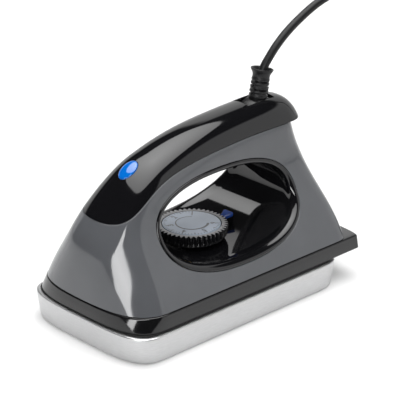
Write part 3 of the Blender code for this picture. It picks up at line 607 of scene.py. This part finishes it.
# ---- sole, skirt, shell and cover ----------------------------------------------------------------
def plan_ring(front, rear, half_width, z, front_depth, rear_depth, power, steps=44):
    """A rounded rectangle in plan at height z."""
    grow = 2 / power
    quarter = [math.pi / 2 * i / steps for i in range(steps + 1)]
    side = [(half_width * math.sin(a) ** grow, 1 - math.cos(a) ** grow) for a in quarter]
    right = [(x, front + front_depth * d) for x, d in side]
    right += [(x, rear - rear_depth * d) for x, d in side[::-1]]
    return [Vector((x, y, z)) for x, y in right + [(-x, y) for x, y in right[-2:0:-1]]]


def sole_ring(z, inset, corner=SOLE_CORNER):
    return plan_ring(
        SOLE_FRONT + inset, SOLE_REAR - inset, SOLE_HALF_WIDTH - inset, z, corner, corner, SOLE_POWER
    )


def element_path(y_end, z):
    """The U of the heating element, open towards the heel."""
    radius, bend_y = 26.0, -34.0
    arc = [math.pi * i / 12 for i in range(13)]
    bend = [(radius * math.cos(a), bend_y - radius * math.sin(a), z) for a in arc]
    return [(radius, y_end, z), (radius, 10.0, z), *bend, (-radius, 10.0, z), (-radius, y_end, z)]


SOLE_SCREWS = ((34.0, -30.0), (-34.0, -30.0), (34.0, 40.0), (-34.0, 40.0))


def make_soleplate():
    edge = (        # height, and how far in from the sole's widest outline
        (0.0, SOLE_TAPER + 2.6), (0.12, SOLE_TAPER + 1.9), (0.4, SOLE_TAPER + 1.2), (0.85, SOLE_TAPER + 0.6),
        (1.6, SOLE_TAPER + 0.2), (2.8, SOLE_TAPER), (SOLE_TOP - 1.0, 0.1), (SOLE_TOP - 0.5, 0.16),
        (SOLE_TOP - 0.15, 0.36), (SOLE_TOP, 0.8),
    )
    cutters = [sweep(element_path(58.0, 12.2), 3.8, 16)]
    cutters += [turned(((1.7, -9.0), (1.7, 2.0)), 24, upright(x, y, SOLE_TOP)) for x, y in SOLE_SCREWS]
    rings = [sole_ring(z, inset) for z, inset in edge]
    piece("fine_soleplate", loft(rings), ALUMINIUM, "aluminium", "housing", "soleplate", cutters=cutters)


def make_base_skirt():
    """The skirt with its heel ledge, hollow below, with windows for the thermostat and the wires."""
    edge = (        # height, inset from the widest outline, share of the way up the side
        (SKIRT_BOTTOM, 0.7, 0.0), (SKIRT_BOTTOM + 0.1, 0.35, 0.0), (SKIRT_BOTTOM + 0.35, 0.1, 0.0),
        (SKIRT_BOTTOM + 0.8, 0.0, 0.08), (SKIRT_TOP - 0.9, 0.0, 1.0), (SKIRT_TOP - 0.4, 0.12, 1.0),
        (SKIRT_TOP - 0.12, 0.4, 1.0), (SKIRT_TOP, 0.9, 1.0),
    )
    rings = []
    for z, inset, up in edge:
        front, half_width = SKIRT_FRONT + 0.6 * up + inset, SKIRT_HALF_WIDTH - 1.1 * up - inset
        corner, power = 22.0 + 2.0 * up, 3.3 - 0.45 * up
        rings.append(plan_ring(front, LEDGE_REAR - inset, half_width, z, corner, 4.0, power))
    levels = (SKIRT_BOTTOM - 2, SKIRT_TOP - 2.6)
    cutters = [
        loft([plan_ring(-76.5, 62.0, 38.6, z, 20.0, 16.0, 2.6) for z in levels]),
        box((-20, -32, 18), (20, 24, 27)),
        box((-17, 34, 18), (17, 58, 27)),
    ]
    cutters += [turned(((1.7, -6.0), (1.7, 6.0)), 24, upright(x, y, SKIRT_TOP)) for x, y in SOLE_SCREWS]
    piece(
        "fine_base_skirt", loft(rings), SKIRT_BLACK, "black_gloss", "housing", "base_skirt", cutters=cutters
    )


def make_body_shell():
    turns, seam = shell_turns(0.0), shell_seam()
    outer = lipped_skin(turns, np.ones(len(turns)), reach(turns, in_shell(0.0)), seam, OUTER_ROWS)
    turns = shell_turns(WALL)
    inner = skin(turns, np.ones(len(turns)), reach(turns, in_shell(WALL)), seam, INNER_ROWS, WALL)
    bm = hollow_skin(outer, inner, closed=True)
    shell = piece("fine_body_shell", bm, GREY_SHELL, "grey_shell", "housing", "body_shell")
    shade_by_formula(shell)


def cover_reach(turns, inset):
    far = reach(turns, in_body(inset, COVER_OVERHANG))
    near = np.minimum(reach(turns, below_cover), far)
    near[[0, -1]] = far[[0, -1]]
    return near, far


def make_top_cover():
    seam = np.full(COVER_RAYS + 1, True)
    turns = cover_turns(0.0, COVER_OVERHANG)
    outer = lipped_skin(turns, *cover_reach(turns, 0.0), seam, OUTER_ROWS, COVER_OVERHANG)
    turns = cover_turns(WALL, COVER_OVERHANG)
    inner = skin(turns, *cover_reach(turns, WALL), seam, INNER_ROWS, WALL, COVER_OVERHANG)
    bm = hollow_skin(outer, inner, closed=False)
    low, high = (-SLOT_HALF_WIDTH, SLOT_FRONT, 94), (SLOT_HALF_WIDTH, SLOT_BACK, 106)
    cutters = [oval(LENS_LENGTH / 2 + GAP, LENS_WIDTH / 2 + GAP, ((1.0, -7.0), (1.0, 6.0))), box(low, high)]
    cover = piece(
        "fine_top_cover", bm, BLACK_GLOSS, "black_gloss", "housing", "top_cover", cutters=cutters
    )
    shade_by_formula(cover, COVER_OVERHANG)


def make_handle_liner():
    """The gloss tunnel through the handle, with a rolled rim on both flanks."""
    turns = np.linspace(0, 2 * math.pi, 320, endpoint=False)
    roll = (        # inset from the opening's outline, depth below the flank
        (GAP, 1.4), (GAP, 0.3), (0.42, 0.02), (0.75, -0.2), (1.2, -0.28), (1.7, -0.22), (2.2, 0.0),
        (2.65, 0.35), (3.0, 0.85), (3.25, 1.5), (3.36, 2.3), (3.3, 3.3), (3.05, 4.6), (2.75, 6.0),
        (2.55, 7.5), (LINER_THICKNESS, 9.0),
    )
    rings = []
    for side in (1, -1):
        for inset, depth in roll[:: side]:
            y, z = opening(turns, inset)
            x = side * (flank_x(y, z) - depth)
            rings.append([Vector(p) for p in zip(x, y, z)])
    hole = turned(((4.3, 28.0), (4.3, 38.0)), 48, upright(0, DIAL_Y, 0))
    piece(
        "fine_handle_liner", loft(rings, closed=True), BLACK_GLOSS, "black_gloss", "housing", "handle_liner",
        cutters=[hole],
    )


def lens_place():
    """Local X across, local Y up the crown, local Z out of the cover at the lens."""
    return Matrix.Translation((0, LENS_Y, LENS_Z)) @ Matrix.Rotation(math.radians(LENS_SLOPE), 4, "X")


def oval(half_length, half_width, profile, sides=72):
    """An oval turned along the lens's axis; profile is (share of full size, height)."""
    stretch = Matrix.Diagonal((half_width, half_length, 1, 1))
    return turned(profile, sides, lens_place() @ stretch)


def make_indicator_lens():
    dome = [(0.96, -3.0), (1.0, -2.5), (1.0, -0.45)]
    dome += [(math.cos(a), 1.35 * math.sin(a) - 0.4) for a in np.linspace(0.12, 1.5, 16)]
    dome.append((0.004, 0.95))
    shape = oval(LENS_LENGTH / 2, LENS_WIDTH / 2, dome)
    piece("fine_indicator_lens", shape, LENS_BLUE, "lens_blue", "housing", "indicator_lens", smooth_angle=50)


def floor_z(y):
    """Height of the tunnel's floor on X = 0."""
    share = abs(y) / (OPENING_HALF_LENGTH - LINER_THICKNESS)
    depth = OPENING_HALF_HEIGHT - LINER_THICKNESS
    return CENTRE_Z - depth * (1 - share ** OPENING_POWER) ** (1 / OPENING_POWER)


POINTER_DEPTH = 1.6          # of the blue part


def pointer_top(y):
    """The pointer's top face climbs away from the dial."""
    return 39.2 + 0.32 * (y - 15.9)


def make_pointer():
    """The blue pointer, on a black riser that stands on the tunnel's floor."""
    circles = ((0.0, 16.9, 1.0), (-2.5, 22.5, 0.9), (2.5, 22.5, 0.9))
    outline = hull_of_circles(circles, 0.0, 72)
    rings = [[Vector((x, y, floor_z(y) + GAP)) for x, y in outline]]
    for inset, drop in ((0.0, POINTER_DEPTH), (0.0, 0.5), (0.06, 0.25), (0.2, 0.07), (0.45, 0.0)):
        outline = hull_of_circles(circles, inset, 72)
        rings.append([Vector((x, y, pointer_top(y) - drop)) for x, y in outline])
    pointer = piece("fine_dial_pointer", loft(rings), BLUE, "pointer_blue", "housing", "dial_pointer")
    pointer.data.materials.append(BLACK_GLOSS)
    for face in pointer.data.polygons:
        height = face.center.z / MM
        face.material_index = int(height < pointer_top(face.center.y / MM) - POINTER_DEPTH + 0.01)


# ---- dial ----------------------------------------------------------------------------------------
RIM_TOP = 42.92
DIAL_TICKS, DIAL_NUMBERS = 41, 6
TICK_END, ARC_RADIUS, NUMBER_RADIUS = 14.9, 8.0, 11.2
SCALE_START, SCALE_SWEEP = -225.0, 270.0      # degrees round the dial


def scale_angle(share):
    """The angle round the dial at a share of its scale, in radians."""
    return math.radians(SCALE_START + SCALE_SWEEP * share)


def tooth_valley(angle):
    """0 on a tooth's crest and 1 between teeth."""
    phase = (angle * DIAL_TEETH / (2 * math.pi)) % 1.0
    return np.clip(np.abs(phase - 0.5) * 3.6 - 0.45, 0, 1)


def make_dial():
    hub, under, edge = 3.0, DIAL_TOP - 1.3, RIM_RADIUS - GAP
    place = upright(0, DIAL_Y, 0)
    profile = (        # radius, height, depth of the valleys between teeth
        (hub, 36.2, 0), (17.0, 36.2, 0), (17.4, 36.3, 0), (17.95, 36.6, 0), (18.15, 36.9, 0),
        (18.15, 37.3, 0), (17.95, 37.45, 0), (17.95, 37.6, 0), (18.15, 37.75, 0.1), (18.5, 38.0, 0.6),
        (19.1, 38.4, 1.5), (19.25, 38.8, 1.7), (19.3, 42.45, 1.8), (19.22, 42.75, 1.75),
        (18.95, RIM_TOP - 0.02, 1.55), (18.3, RIM_TOP, 1.0), (17.0, RIM_TOP, 0), (16.1, RIM_TOP, 0),
        (15.85, 42.8, 0), (RIM_RADIUS, 42.5, 0), (RIM_RADIUS, 41.4, 0), (hub, 41.4, 0),
    )
    shape = notched([(*row, 0.0) for row in profile], DIAL_TEETH * 16, place, tooth_valley, bore=True)
    knob = piece("fine_dial_knob", shape, DIAL_BLACK, "dial_black", "dial", "dial_knob", smooth_angle=50)
    knob.data.materials.append(DIAL_RIM_PAINTED_SHEEN)
    # the upward faces of the rim's flat top get the pale grey: a painted reflection of the overhead lamp, not
    # a grey finish
    for top in knob.data.polygons:
        top.material_index = int(top.normal.z > 0.8 and top.center.z > (RIM_TOP - 0.07) * MM)
    face = (
        (0.004, under), (edge, under), (edge, DIAL_TOP - 0.4), (edge - 0.08, DIAL_TOP - 0.15),
        (edge - 0.3, DIAL_TOP - 0.02), (edge - 0.6, DIAL_TOP), (0.004, DIAL_TOP),
    )
    piece("fine_dial_face", turned(face, 180, place), DIAL_PALE, "dial_pale", "dial", "dial_face")
    make_dial_marks()


def flat_mark(bm, outline, place):
    """A raised print mark on the dial's face."""
    loft([[place @ Vector((x, y, z)) for x, y in outline] for z in (DIAL_TOP - 0.05, DIAL_TOP + 0.03)], bm=bm)


def make_dial_marks():
    """Generic scale: ticks, a widening arc for the heat, and numbers."""
    bm = bmesh.new()
    place = upright(0, DIAL_Y, 0)
    for i in range(DIAL_TICKS):
        angle = scale_angle(i / (DIAL_TICKS - 1))
        inner, half = (12.9, 0.28) if i % 4 == 0 else (13.7, 0.17)
        outline = ((inner, -half), (TICK_END, -half), (TICK_END, half), (inner, half))
        flat_mark(bm, outline, place @ Matrix.Rotation(angle, 4, "Z"))
    steps = 60
    turns = [scale_angle(i / steps) for i in range(steps + 1)]
    edge = [ARC_RADIUS + 0.25 + 1.1 * i / steps for i in range(steps + 1)]
    for i in range(steps):
        ring = ((i, ARC_RADIUS), (i, edge[i]), (i + 1, edge[i + 1]), (i + 1, ARC_RADIUS))
        flat_mark(bm, [(r * math.cos(turns[k]), r * math.sin(turns[k])) for k, r in ring], place)
    piece("dial_marks", bm, DIAL_INK, "dial_black", "dial")
    for number in range(DIAL_NUMBERS):
        make_dial_number(number)


def make_dial_number(number):
    """One generic number, standing upright as seen from the dial's middle."""
    name = f"dial_number_{number + 1}"
    text = bpy.data.curves.new(name + "_text", "FONT")
    text.body = str(number + 1)
    text.size = 4.2 * MM
    text.offset = 0.08 * MM
    text.extrude = 0.05 * MM
    text.align_x = "CENTER"
    text.align_y = "CENTER"
    source = bpy.data.objects.new(text.name, text)
    bpy.context.scene.collection.objects.link(source)
    mesh = bpy.data.meshes.new_from_object(source.evaluated_get(bpy.context.evaluated_depsgraph_get()))
    bpy.data.objects.remove(source)
    mesh.materials.clear()
    mesh.materials.append(DIAL_INK)
    around = Matrix.Rotation(scale_angle(number / (DIAL_NUMBERS - 1)), 4, "Z")
    standing = Matrix.Rotation(math.radians(-90), 4, "Z")
    middle = upright(0, DIAL_Y * MM, DIAL_TOP * MM)
    mesh.transform(middle @ around @ upright(NUMBER_RADIUS * MM, 0, 0) @ standing)
    made = bpy.data.objects.new(name, mesh)
    bpy.context.scene.collection.objects.link(made)
    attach(made, "dial")


# ---- cord swivel ---------------------------------------------------------------------------------
def sleeve_place():
    return Matrix.Translation((0, SWIVEL_Y, SWIVEL_Z)) @ Matrix.Rotation(math.radians(-SLEEVE_LEAN), 4, "X")


def slot_pattern(angle):
    """1 along two slots on opposite sides and 0 on the bridges between them."""
    return np.clip((np.abs(np.cos(angle)) - 0.72) * 16, 0, 1)


def make_swivel():
    """The drum that turns in the cover's slot, and the strain relief that stands in it."""
    half, pin, pin_end = SLOT_HALF_WIDTH - 0.4, 2.2, 9.0
    half_profile = (
        (SWIVEL_RADIUS, half - 0.9), (SWIVEL_RADIUS - 0.12, half - 0.45), (SWIVEL_RADIUS - 0.42, half - 0.12),
        (SWIVEL_RADIUS - 0.85, half), (pin, half), (pin, pin_end), (0.01, pin_end),
    )
    drum = [(r, -z) for r, z in half_profile[::-1]] + list(half_profile)
    socket = turned(((4.8, SLEEVE_START - GAP), (4.8, 14.0)), 48, sleeve_place())
    shape = turned(drum, 144, along_x(0, SWIVEL_Y, SWIVEL_Z))
    piece(
        "fine_swivel_barrel", shape, DARK_SATIN, "dark_satin", "cord_swivel", "swivel_barrel",
        cutters=[socket],
    )
    rows = [(0.01, SLEEVE_START), (4.3, SLEEVE_START), (4.45, 9.5), (4.8, 10.5), (4.95, 10.9)]
    rows += [(4.98, 12.0), (4.85, 12.25)]
    profile = [(r, z, 0.0, 0.0) for r, z in rows]
    for tier in range(4):
        z, radius, phase = 12.35 + 2.15 * tier, 5.05 - 0.07 * tier, math.pi / 2 * tier + 0.9
        profile += [(radius - 0.2, z, 1.6, phase), (radius - 0.2, z + 0.8, 1.6, phase)]
        profile += [(radius - 0.12, z + 0.9, 0.0, 0.0), (radius, z + 1.1, 0.0, 0.0)]
        profile += [(radius, z + 1.95, 0.0, 0.0), (radius - 0.12, z + 2.1, 0.0, 0.0)]
    mouth = (
        (4.6, 21.1), (4.6, 21.9), (4.75, 23.0), (5.15, 24.0), (5.7, 24.8), (6.0, 25.4), (6.1, 25.75),
        (6.05, 25.98), (5.85, 26.1), (5.6, 26.05), (5.35, 25.85), (4.8, 24.9), (4.3, 23.8), (3.9, 22.7),
        (3.7, 21.4), (0.01, 21.4),
    )
    profile += [(r, z, 0.0, 0.0) for r, z in mouth]
    sleeve = notched(profile, 144, sleeve_place(), slot_pattern)
    piece("fine_strain_relief", sleeve, SLEEVE_RUBBER, "rubber", "cord_swivel", "strain_relief")


# ---- cord and plug -------------------------------------------------------------------------------
def fine(knots, count):
    """Evenly spread points on a smooth curve through knots."""
    knots = np.array(knots, float)
    along = np.concatenate([[0], np.cumsum(np.linalg.norm(np.diff(knots, axis=0), axis=1))])
    places = np.linspace(0, along[-1], count)
    return np.stack([smooth(places, list(zip(along, knots[:, axis]))) for axis in range(3)], 1)


def coil_exit():
    """Local X runs from the coil towards the plug's pins, along the tail of the cord."""
    angle = math.radians(TAIL_ANGLE)
    around = Matrix.Rotation(angle, 4, "Z")
    along = Matrix.Rotation(math.pi / 2, 4, "Z")
    return upright(COIL_X, COIL_Y, 0) @ around @ upright(COIL_OUTER, 0, 0) @ along


def coil_knots():
    """The put-away cord, layer by layer from the top: inward, down, outward, down, and so on."""
    whole = COIL_TURNS + TAIL_ANGLE / 360
    each = (whole - (COIL_LAYERS - 1) * STEP_DOWN) / COIL_LAYERS
    knots = []
    for turn in np.linspace(0, whole, round(whole * 48) + 1):
        layer = min(int(turn / (each + STEP_DOWN)), COIL_LAYERS - 1)
        within = turn - layer * (each + STEP_DOWN)
        share = min(within / each, 1.0)
        inward = share if layer % 2 == 0 else 1 - share
        radius = COIL_OUTER + (COIL_INNER - COIL_OUTER) * inward
        down = max(0.0, (within - each) / STEP_DOWN)
        z = LOW_LAYER_Z + CORD_DIAMETER * (COIL_LAYERS - 1 - layer - (3 - 2 * down) * down * down)
        angle = 2 * math.pi * turn
        knots.append((COIL_X + radius * math.cos(angle), COIL_Y + radius * math.sin(angle), z))
    return knots


def make_cord():
    """The mains cord from the sleeve to the plug, with the tie and the plug that go with it."""
    exit_point = sleeve_place() @ Vector((0, 0, CORD_EXIT))
    end = TAIL_LENGTH - GAP
    tail = [
        (7.0, 0.0, LOW_LAYER_Z + 0.1), (17.0, 0.0, 4.8), (end - 7.2, 0.0, 7.6), (end - 3.0, 0.0, PLUG_REAR_Z),
        (end, 0.0, PLUG_REAR_Z),
    ]
    knots = [tuple(exit_point), *CORD_ROUTE, (COIL_X + COIL_OUTER, COIL_Y - 7.5, 18.0), *coil_knots()]
    knots += [tuple(coil_exit() @ Vector(point)) for point in tail]
    path = fine(knots, 1000)
    cord = mesh_object("mains_cord", sweep(path, CORD_DIAMETER / 2, 16), RUBBER)
    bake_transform(cord)
    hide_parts("cord_run", "cord_coil", "cord_tail")
    tie = make_cord_tie()
    plug = make_plug()


def make_cord_tie():
    """A flat strap closed around the coil's turns on the side away from the iron."""
    half = TIE_WIDTH / 2
    low = math.sqrt((COIL_INNER - CORD_DIAMETER / 2) ** 2 - half ** 2) - GAP
    high = COIL_OUTER + CORD_DIAMETER / 2 + GAP
    bend = 1.6
    bottom, top = COIL_BOTTOM - GAP, COIL_BOTTOM + COIL_LAYERS * CORD_DIAMETER + GAP
    circles = [(x, z, bend) for x in (low + bend, high - bend) for z in (bottom + bend, top - bend)]
    place = upright(COIL_X, COIL_Y, 0) @ Matrix.Rotation(math.radians(TIE_ANGLE), 4, "Z")
    edge = ((0.0, -half), (-0.1, -half), (-0.6, -half), (-TIE_THICKNESS, -half + 0.1))
    ring_places = [*edge, *[(inset, -y) for inset, y in edge[::-1]]]
    rings = [
        [place @ Vector((radius, y, z)) for radius, z in hull_of_circles(circles, inset, 96)]
        for inset, y in ring_places
    ]
    return piece("fine_cord_tie", loft(rings, closed=True), FIBRE, "fibre", "housing", "cord_tie")


def make_plug():
    place = coil_exit() @ upright(TAIL_LENGTH, 0, PLUG_HEIGHT / 2 + 0.1)
    drop = PLUG_REAR_Z - PLUG_HEIGHT / 2 - 0.1
    sections = (        # distance from the rear, half width, half height, height of the middle
        (0.0, 3.0, 3.0, drop), (0.3, 3.3, 3.3, drop), (4.0, 3.8, 3.8, drop + 0.2),
        (8.0, 4.3, 4.2, drop + 0.5), (9.0, 5.4, 5.0, drop + 0.7), (10.0, 8.0, 7.0, drop + 1.0),
        (11.5, 10.3, 9.0, -0.5), (14.0, 11.9, 10.5, 0.0), (20.0, 12.2, 10.7, 0.0), (28.6, 12.5, 11.0, 0.0),
        (29.6, 12.3, 10.8, 0.0), (PLUG_LENGTH, 11.6, 10.1, 0.0),
    )
    rings = []
    for x, half_width, half_height, middle in sections:
        ring = []
        for k in range(64):
            c, s = math.cos(2 * math.pi * k / 64), math.sin(2 * math.pi * k / 64)
            y, z = half_width * signed_power(c, 0.6), middle + half_height * signed_power(s, 0.6)
            ring.append(place @ Vector((x, y, z)))
        rings.append(ring)
    pieces = [piece("fine_plug_body", loft(rings), PLUG_RUBBER, "rubber", "housing", "plug_body")]
    start = PLUG_LENGTH + GAP
    for side, y in (("right", BLADE_SPREAD), ("left", -BLADE_SPREAD)):
        low = (start, y - 0.75, BLADE_RISE - 3.2)
        high = (start + 16, y + 0.75, BLADE_RISE + 3.2)
        shape, name = box(low, high, place, rounding=0.35), f"plug_blade_{side}"
        pieces.append(piece("fine_" + name, shape, BRASS, "brass", "housing", name))
    pin = (
        (0.01, 0.0), (2.4, 0.0), (2.4, 15.4), (2.3, 16.3), (2.0, 17.1), (1.5, 17.7), (0.8, 17.95),
        (0.01, 18.0),
    )
    ahead = upright(start, 0, -EARTH_DROP) @ Matrix.Rotation(math.radians(90), 4, "Y")
    shape = turned(pin, 40, place @ ahead)
    pieces.append(piece("fine_plug_earth_pin", shape, BRASS, "brass", "housing", "plug_earth_pin"))
    return pieces


# ---- studio, in metres and degrees ---------------------------------------------------------------
FLOOR_GREY, FLOOR_GLOW = 0.6, 0.2
OVERHEAD_PLACE, OVERHEAD_TURN = (-0.09, 0.12, 1.26), 6.0
OVERHEAD_HALF_SIZE, OVERHEAD_ROUNDNESS = (1.08, 0.68), 0.85
OVERHEAD_RADIANCE = (6.5, 3.4)                     # in the middle, and at the rim
STRIP_AZIMUTH, STRIP_ELEVATION, STRIP_DISTANCE = 26.0, 17.5, 1.2
STRIP_LIFT, STRIP_LEAN = 0.05, 51.0
STRIP_HALF_WIDTH, STRIP_HALF_HEIGHT = 0.088, 0.92
STRIP_RADIANCE = (13.0, 10.4)
WHITE_EDGE_AZIMUTH = 15.5                          # the backdrop's white starts a quarter turn from here
BACKDROP_TOPS = (((0.12, 0.0, 1.0), 0.65), ((-0.8, -0.1, 1.0), 1.03))      # white below both leaning edges
DARK_RADIANCE, BACKDROP_RADIANCE, SEEN_RADIANCE = 0.03, 1.0, 1.0


def make_floor():
    bm = bmesh.new()
    bmesh.ops.create_grid(bm, x_segments=1, y_segments=1, size=3000.0)
    look = Look("studio_floor", (FLOOR_GREY,) * 3, 0.9)
    look.vary_colour(look.noise(3.0), (FLOOR_GREY,) * 3, (FLOOR_GREY + 0.01,) * 3)
    look.shader.inputs["Specular IOR Level"].default_value = 0.1
    look.shader.inputs["Emission Color"].default_value = (1.0, 1.0, 1.0, 1.0)
    look.shader.inputs["Emission Strength"].default_value = FLOOR_GLOW
    mesh_object("floor", bm, look.material)


def soft_light(name, outline, place, middle, rim):
    """A lamp's white cloth: radiance middle at its centre, falling to rim one unit away in object space."""
    made = Look(name, (0.0, 0.0, 0.0), 1.0)
    distance = made.node("ShaderNodeVectorMath", Vector=made.place)
    distance.operation = "LENGTH"
    glow = made.spread(distance.outputs["Value"], middle, rim, 0.0, 1.0)
    made.tree.links.new(glow, made.shader.inputs["Emission Strength"])
    made.shader.inputs["Emission Color"].default_value = (1.0, 1.0, 1.0, 1.0)
    made.shader.inputs["Specular IOR Level"].default_value = 0.0
    bm = bmesh.new()
    bm.faces.new([bm.verts.new((x, y, 0)) for x, y in outline])
    mesh = bpy.data.meshes.new(name)
    bm.to_mesh(mesh)
    bm.free()
    mesh.materials.append(made.material)
    cloth = bpy.data.objects.new(name, mesh)
    cloth.matrix_world = place
    bpy.context.scene.collection.objects.link(cloth)


def make_lights():
    """A wide round-cornered cloth overhead, and a long leaning strip in front of the nose's right corner."""
    turns = [2 * math.pi * i / 96 for i in range(96)]
    outline = [[signed_power(c, OVERHEAD_ROUNDNESS) for c in (math.cos(a), math.sin(a))] for a in turns]
    overhead = Matrix.Translation(OVERHEAD_PLACE) @ Matrix.Rotation(math.radians(OVERHEAD_TURN), 4, "Z")
    stretch = Matrix.Diagonal((*OVERHEAD_HALF_SIZE, 1, 1))
    soft_light("overhead_cloth", outline, overhead @ stretch, *OVERHEAD_RADIANCE)
    back = look_direction(STRIP_AZIMUTH, STRIP_ELEVATION)
    strip = Matrix.Translation(back * STRIP_DISTANCE + Vector((0, 0, STRIP_LIFT)))
    strip = strip @ back.to_track_quat("Z", "Y").to_matrix().to_4x4()
    strip = strip @ Matrix.Rotation(math.radians(-STRIP_LEAN), 4, "Z")
    w, h = STRIP_HALF_WIDTH, STRIP_HALF_HEIGHT
    soft_light("strip_cloth", ((-w, -h), (w, -h), (w, h), (-w, h)), strip, *STRIP_RADIANCE)


def make_world():
    """White beside and behind the iron, dark in front of it and high up; plain white to the camera."""
    world = bpy.data.worlds.new("studio")
    world.use_nodes = True
    tree = world.node_tree
    bpy.context.scene.world = world
    make, join = tree.nodes.new, tree.links.new
    place = make("ShaderNodeTexCoord").outputs["Generated"]

    def facing(x, y, z):
        node = make("ShaderNodeVectorMath")
        node.operation = "DOT_PRODUCT"
        join(place, node.inputs[0])
        node.inputs[1].default_value = (x, y, z)
        return node.outputs["Value"]

    def ramp(value, start, end):
        node = make("ShaderNodeMapRange")
        node.interpolation_type = "SMOOTHSTEP"
        join(value, node.inputs["Value"])
        node.inputs["From Min"].default_value = start
        node.inputs["From Max"].default_value = end
        return node.outputs["Result"]

    def times(a, b):
        node = make("ShaderNodeMath")
        node.operation = "MULTIPLY"
        join(a, node.inputs[0])
        join(b, node.inputs[1])
        return node.outputs["Value"]

    front = look_direction(WHITE_EDGE_AZIMUTH, 0)
    behind = ramp(facing(-front.x, -front.y, -0.12), 0.0, 0.06)
    low = times(*[ramp(facing(*lean), top + 0.03, top - 0.03) for lean, top in BACKDROP_TOPS])
    light = make("ShaderNodeMapRange")
    join(times(behind, low), light.inputs["Value"])
    light.inputs["To Min"].default_value = DARK_RADIANCE
    light.inputs["To Max"].default_value = BACKDROP_RADIANCE
    seen = make("ShaderNodeMix")
    join(make("ShaderNodeLightPath").outputs["Is Camera Ray"], seen.inputs["Factor"])
    join(light.outputs["Result"], seen.inputs["A"])
    seen.inputs["B"].default_value = SEEN_RADIANCE
    join(seen.outputs["Result"], tree.nodes["Background"].inputs["Strength"])
    tree.nodes["Background"].inputs["Color"].default_value = (1.0, 1.0, 1.0, 1.0)


def dress_cad_nodes():
    """Gives every CAD node the material of its slot."""
    for part in frame["record"]["subparts"]:
        materials = frame["nodes"][part["node"]].data.materials
        materials.clear()
        materials.append(LOOKS[part["material_slot"]])


make_cord()
make_soleplate()
make_base_skirt()
make_body_shell()
make_top_cover()
make_handle_liner()
make_indicator_lens()
make_pointer()
make_dial()
make_swivel()
dress_cad_nodes()
make_floor()
make_lights()
make_world()
bpy.context.scene.view_settings.view_transform = "Standard"
